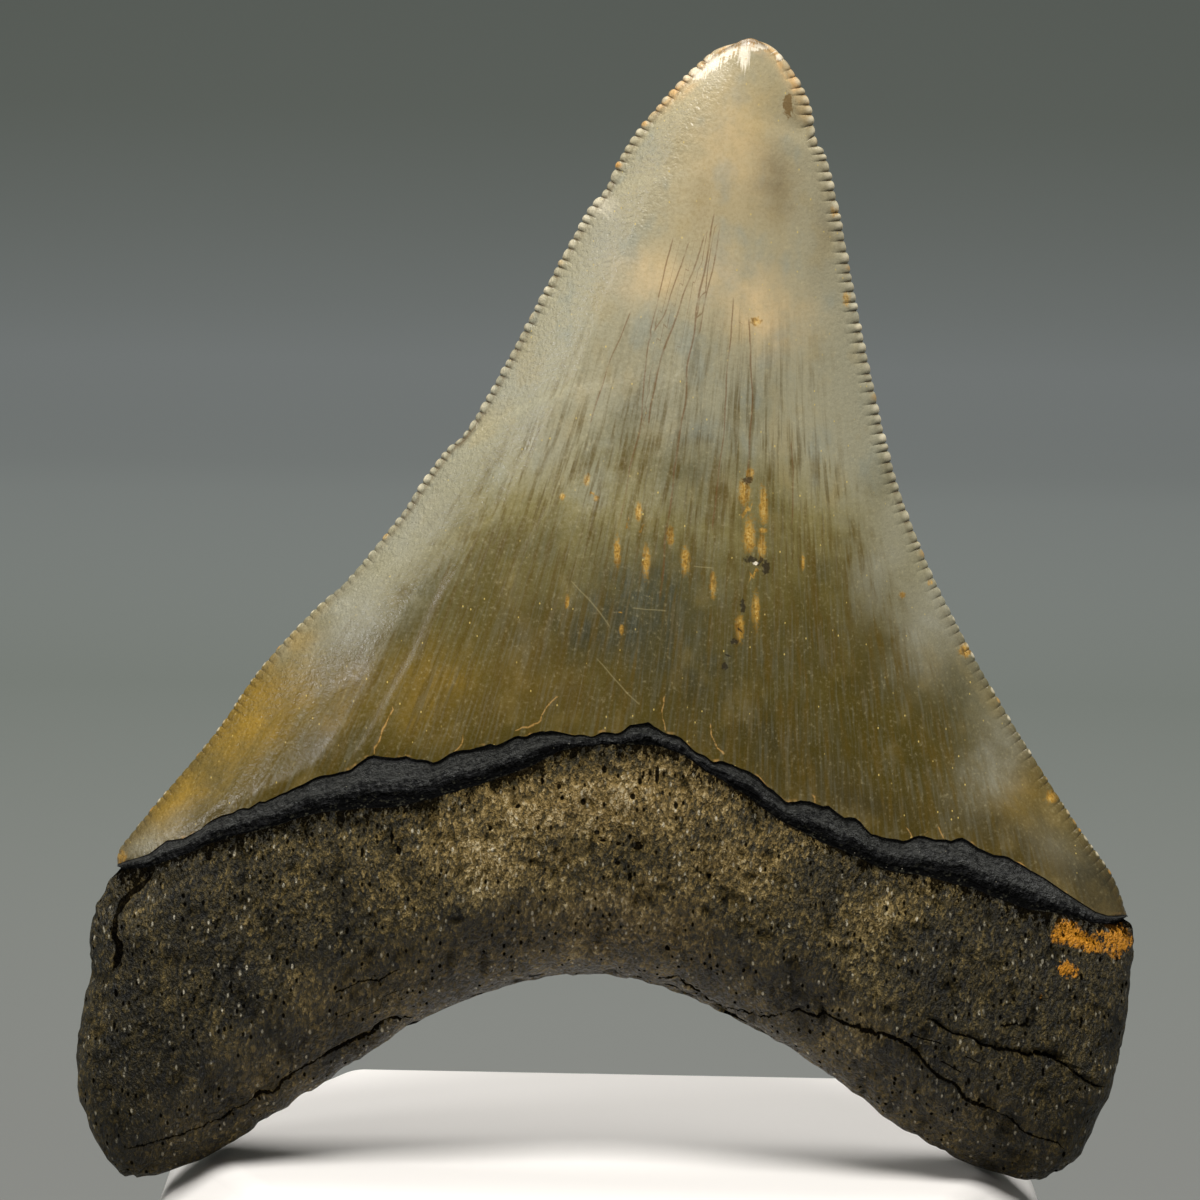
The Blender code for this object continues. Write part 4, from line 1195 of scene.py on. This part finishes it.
def collar_look():
    """The black collar: a glossy upper band whose grey is a painted sheen, and a rough black groove below.
    """
    look = Look("dark_collar", COLLAR_BLACK)
    place = look.vector("place")
    share, rise, _ = look.vector("grow").parts()
    strands = look.join(share * 46.0, 0.0, rise * 7.0).noise(1.0, 4.0, 0.7, 0.4)
    fine = place.noise(2.4, 3.0, 0.7)
    grit = place.stretch(1.0, 1.0, 1.4).grains(4.0)
    level = rise + (strands - 0.5) * 0.6 + (fine - 0.5) * 0.5
    upper = level.step(1.38, 1.5) * rise.step(1.95, 1.88)
    # Painted sheen: grey laid over the collar's upper band
    look.paint(COLLAR_SHEEN_GREY, upper * (fine.step(0.36, 0.6, 0.1, 0.7) + grit * 0.35))
    loose = grit.step(0.72, 0.95) * level.step(1.45, 1.1, 0.0, 0.45)
    look.paint(COLLAR_CRUMB, loose * fine.step(0.42, 0.6))
    look.paint(ROOT_FLECK, place.specks(2.2, 0.14, 0.14) * rise.step(1.5, 1.1, 0.4, 0.8))
    return look.finished({
        "Roughness": (upper * fine).step(0.1, 0.5, 0.62, 0.3),
        "Normal": (strands * 1.2 + fine * 0.9).bump(0.8),
        "Specular IOR Level": level.step(1.2, 1.55, 0.04, 0.34),
    })  # fmt: skip


def root_look():
    """The porous root: dark brown, golden tan in the middle, with flecks, an orange stain, and pits and
    holes darkened by painted shade.
    """
    look = Look("fossil_root")
    place = look.vector("place")
    rise = look.vector("grow").parts()[1]
    front = place.parts()[1].step(-0.1, 0.1)
    upright_place = place.stretch(1.0, 0.4, 0.62)
    middle = upright_place.noise(0.9, 3.0, 0.6)
    fibre = upright_place.noise(3.2, 3.0, 0.65)
    bent = look.value("VectorMath", {0: upright_place, 1: look.join(fibre, middle, fibre)})
    grit = bent.grains(5.6)
    tan, ash, orange = look.number("tan"), look.number("ash"), look.number("orange")
    tone = ROOT_TONE
    for part, strength in (
        (place.noise(0.16, 3.0, 0.6) - 0.5, 0.6), (middle - 0.5, 0.32),
        (fibre.step(0.38, 0.62, -0.5, 0.5), 0.22), (bent.grains(3.0) - 0.5, 0.26),
        (grit - 0.5, 0.26), (tan, 0.42), (ash, 0.28), (look.number("soot"), -0.16),
    ):  # fmt: skip
        tone = part * strength + tone
    look.colour = tone.ramp(ROOT_TONES)
    look.paint(ROOT_GOLD, tan * tone.step(0.45, 0.8) * 0.4)
    look.paint(ASH, ash * grit.step(0.3, 0.9) * 0.3)
    narrow = place.stretch(1.0, 0.4, 0.5)
    flecks = narrow.specks(2.0, 0.3, 0.5) * fibre.step(0.4, 0.55, 0.2, 0.95)
    look.paint(ROOT_FLECK, flecks * middle.step(0.4, 0.6, 0.25, 1.0) * 0.75)
    stained = (orange + (fibre - 0.5) * 1.2 + (grit - 0.5) * 0.5) * orange.step(0.1, 0.4)
    look.paint(ORANGE, stained.step(0.25, 0.6, 0.0, 0.9))
    # Painted shade: pits, pocks and holes are painted near black as shade in hollows; cracks and the ragged
    # fringe below the collar are painted near black too
    pits = upright_place.specks(1.8, 0.32, 0.36).most(narrow.specks(0.8, 0.17, 0.22))
    holes = look.spot_gap("hole", (fibre - 0.5) * 0.9).step(1.2, 0.85)
    line = look.line("crack", (fibre - 0.5) * 0.5)
    dark = pits.most(look.number("shade")).most(holes.most(line))
    ragged = (middle - 0.5) * 0.25 + (fibre - 0.5) * 0.3
    dark = dark.most((rise + ragged).step(0.955, 0.985) * front)
    look.paint(ROOT_PIT, dark * 0.95)
    return look.finished({
        "Roughness": fibre.step(0.4, 0.65, 0.4, 0.7),
        "Normal": (fibre * 1.6 + middle * 0.6).bump(0.7),
        "Specular IOR Level": dark.level(0.0, 0.7, 0.24, 0.0),
    })  # fmt: skip


def white_look():
    """Smooth warm white of the stand, with a very faint grain."""
    look = Look("warm_white", STAND_WHITE)
    place = look.value("TexCoord", {}, "Object")
    cloud = place.noise(30.0)
    look.paint(STAND_CLOUD, cloud)
    return look.finished({
        "Roughness": cloud.step(0.3, 0.7, 0.42, 0.52),
        "Normal": place.noise(1800.0, 2.0).bump(0.01),
    })  # fmt: skip


def octagon(half_width, half_depth, side_flat, front_flat):
    """The eight corners of the stand's outline, anticlockwise from the right side's front."""
    right = [(half_width, -side_flat), (half_width, side_flat)]
    back = [(front_flat, half_depth), (-front_flat, half_depth)]
    return right + back + [(-x, -y) for x, y in right] + [(-x, -y) for x, y in back]


def make_stand():
    """An eight-sided block with a flat top, a sloping rim and well rounded edges."""
    top = octagon(TOP_HALF_WIDTH, TOP_HALF_DEPTH, SIDE_FLAT_HALF, FRONT_FLAT_HALF)
    slant = math.atan2(TOP_HALF_DEPTH - SIDE_FLAT_HALF, TOP_HALF_WIDTH - FRONT_FLAT_HALF)
    side_growth = RIM_OUT * math.tan((math.pi / 2 - slant) / 2)
    front_growth = RIM_OUT * math.tan(slant / 2)
    wall = octagon(
        TOP_HALF_WIDTH + RIM_OUT,
        TOP_HALF_DEPTH + RIM_OUT,
        SIDE_FLAT_HALF + side_growth,
        FRONT_FLAT_HALF + front_growth,
    )
    levels = ((wall, 0.0), (wall, STAND_HEIGHT - RIM_DROP), (top, STAND_HEIGHT))
    mesh = bmesh.new()
    rings = [[mesh.verts.new((x * MM, y * MM, z * MM)) for x, y in ring] for ring, z in levels]
    for low, high in zip(rings, rings[1:]):
        for k in range(len(low)):
            after = (k + 1) % len(low)
            mesh.faces.new((low[k], low[after], high[after], high[k]))
    mesh.faces.new(rings[0][::-1])
    mesh.faces.new(rings[-1])
    bmesh.ops.recalc_face_normals(mesh, faces=mesh.faces)
    data = bpy.data.meshes.new("display_stand")
    mesh.to_mesh(data)
    mesh.free()
    data.shade_smooth()
    stand = add_object("display_stand", data, (white_look(),))
    soften = stand.modifiers.new("Softened edges", "BEVEL")
    soften.width = STAND_SOFTNESS * MM
    soften.segments = STAND_SOFT_STEPS
    soften.limit_method = "ANGLE"
    soften.angle_limit = STAND_CREASE
    soften.harden_normals = True
    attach(stand, "root")
    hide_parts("stand")


# Stage: a grey sweep of floor and backdrop, in metres, darker at the front and painted lighter in a band
# where the floor curves up, as painted light
SWEEP_WIDTH = 6.0
SWEEP_FRONT = -1.6
SWEEP_BACK = 1.5
SWEEP_RADIUS = 0.7
SWEEP_HEIGHT = 2.6
SWEEP_ROUGHNESS = 0.8
# Greys along the sweep, with a painted band of light across the far floor
SWEEP_GREYS_AND_PAINTED_LIGHT = (
    (0.08, (95, 96, 92)), (0.30, (101, 106, 100)), (0.49, (131, 136, 133)), (0.62, (138, 143, 142)),
    (0.74, (115, 121, 114)), (0.9, (110, 117, 110)),
)  # fmt: skip


def make_sweep():
    """A floor that curves up into a backdrop, with painted light in its grey."""
    profile = [(SWEEP_FRONT, 0.0), (SWEEP_BACK - SWEEP_RADIUS, 0.0)]
    for degrees in range(5, 91, 5):
        angle = math.radians(degrees)
        y = SWEEP_BACK - SWEEP_RADIUS + SWEEP_RADIUS * math.sin(angle)
        profile.append((y, SWEEP_RADIUS * (1 - math.cos(angle))))
    profile.append((SWEEP_BACK, SWEEP_HEIGHT))
    half = SWEEP_WIDTH / 2
    places = [(x, y, z) for y, z in profile for x in (-half, half)]
    faces = [(2 * k, 2 * k + 1, 2 * k + 3, 2 * k + 2) for k in range(len(profile) - 1)]
    data = bpy.data.meshes.new("sweep")
    data.from_pydata(places, [], faces)
    data.shade_smooth()
    look = Look("sweep_painted_light")
    away = look.value("TexCoord", {}, "Object").parts()[1]
    # Painted light: the grey brightens in a band across the far floor and dims again up the backdrop
    look.colour = away.level(0.0, SWEEP_BACK).ramp(SWEEP_GREYS_AND_PAINTED_LIGHT)
    sweep = add_object("sweep", data, (look.finished({"Roughness": SWEEP_ROUGHNESS}),))


# Lights: name, place in metres, width, height, power in watts
AIM = Vector((0.0, 0.0, 0.08))
LIGHTS = (
    ("key", (0.0, -0.46, 0.92), 0.40, 0.30, 13.0),
    ("left", (-0.70, -0.32, 0.42), 0.16, 0.30, 1.9),
    ("top", (0.04, 0.20, 0.72), 0.70, 0.50, 5.0),
)
WORLD_GREY = (0.14, 0.14, 0.14, 1.0)


def add_lights():
    """Soft light from above, from the left and a little from the front."""
    for name, place, width, height, power in LIGHTS:
        light = bpy.data.lights.new(name, "AREA")
        light.shape = "RECTANGLE"
        light.size = width
        light.size_y = height
        light.energy = power
        body = bpy.data.objects.new(name, light)
        body.location = place
        body.rotation_euler = (AIM - Vector(place)).to_track_quat("-Z", "Y").to_euler()
        bpy.context.scene.collection.objects.link(body)
    world = bpy.data.worlds.new("studio")
    world.use_nodes = True
    world.node_tree.nodes["Background"].inputs["Color"].default_value = WORLD_GREY
    bpy.context.scene.world = world


def add_camera():
    """The camera looks along the tooth's own normal, rolled as the photograph is."""
    along_x, up_tooth = Vector((1, 0, 0)), Vector((0, math.sin(LEAN), math.cos(LEAN)))
    right = along_x * math.cos(ROLL) + up_tooth * math.sin(ROLL)
    up = up_tooth * math.cos(ROLL) - along_x * math.sin(ROLL)
    away = right.cross(up)
    x, up_place = MIDDLE_ON_TOOTH
    middle = Vector(upright(np.array([[x, 0.0, up_place]]))[0])
    data = bpy.data.cameras.new("camera")
    data.sensor_width = SENSOR_WIDTH
    data.lens = SENSOR_WIDTH * CAMERA_DISTANCE / FRAME_WIDTH
    data.clip_start = 0.01
    camera = bpy.data.objects.new("camera", data)
    camera.matrix_world = Matrix.Translation(middle + away * CAMERA_DISTANCE * MM) @ Matrix(
        (right, up, away)
    ).transposed().to_4x4()
    bpy.context.scene.collection.objects.link(camera)
    bpy.context.scene.camera = camera


add_camera()
add_lights()
make_sweep()
make_stand()
make_tooth()
bpy.context.scene.view_settings.view_transform = "Standard"
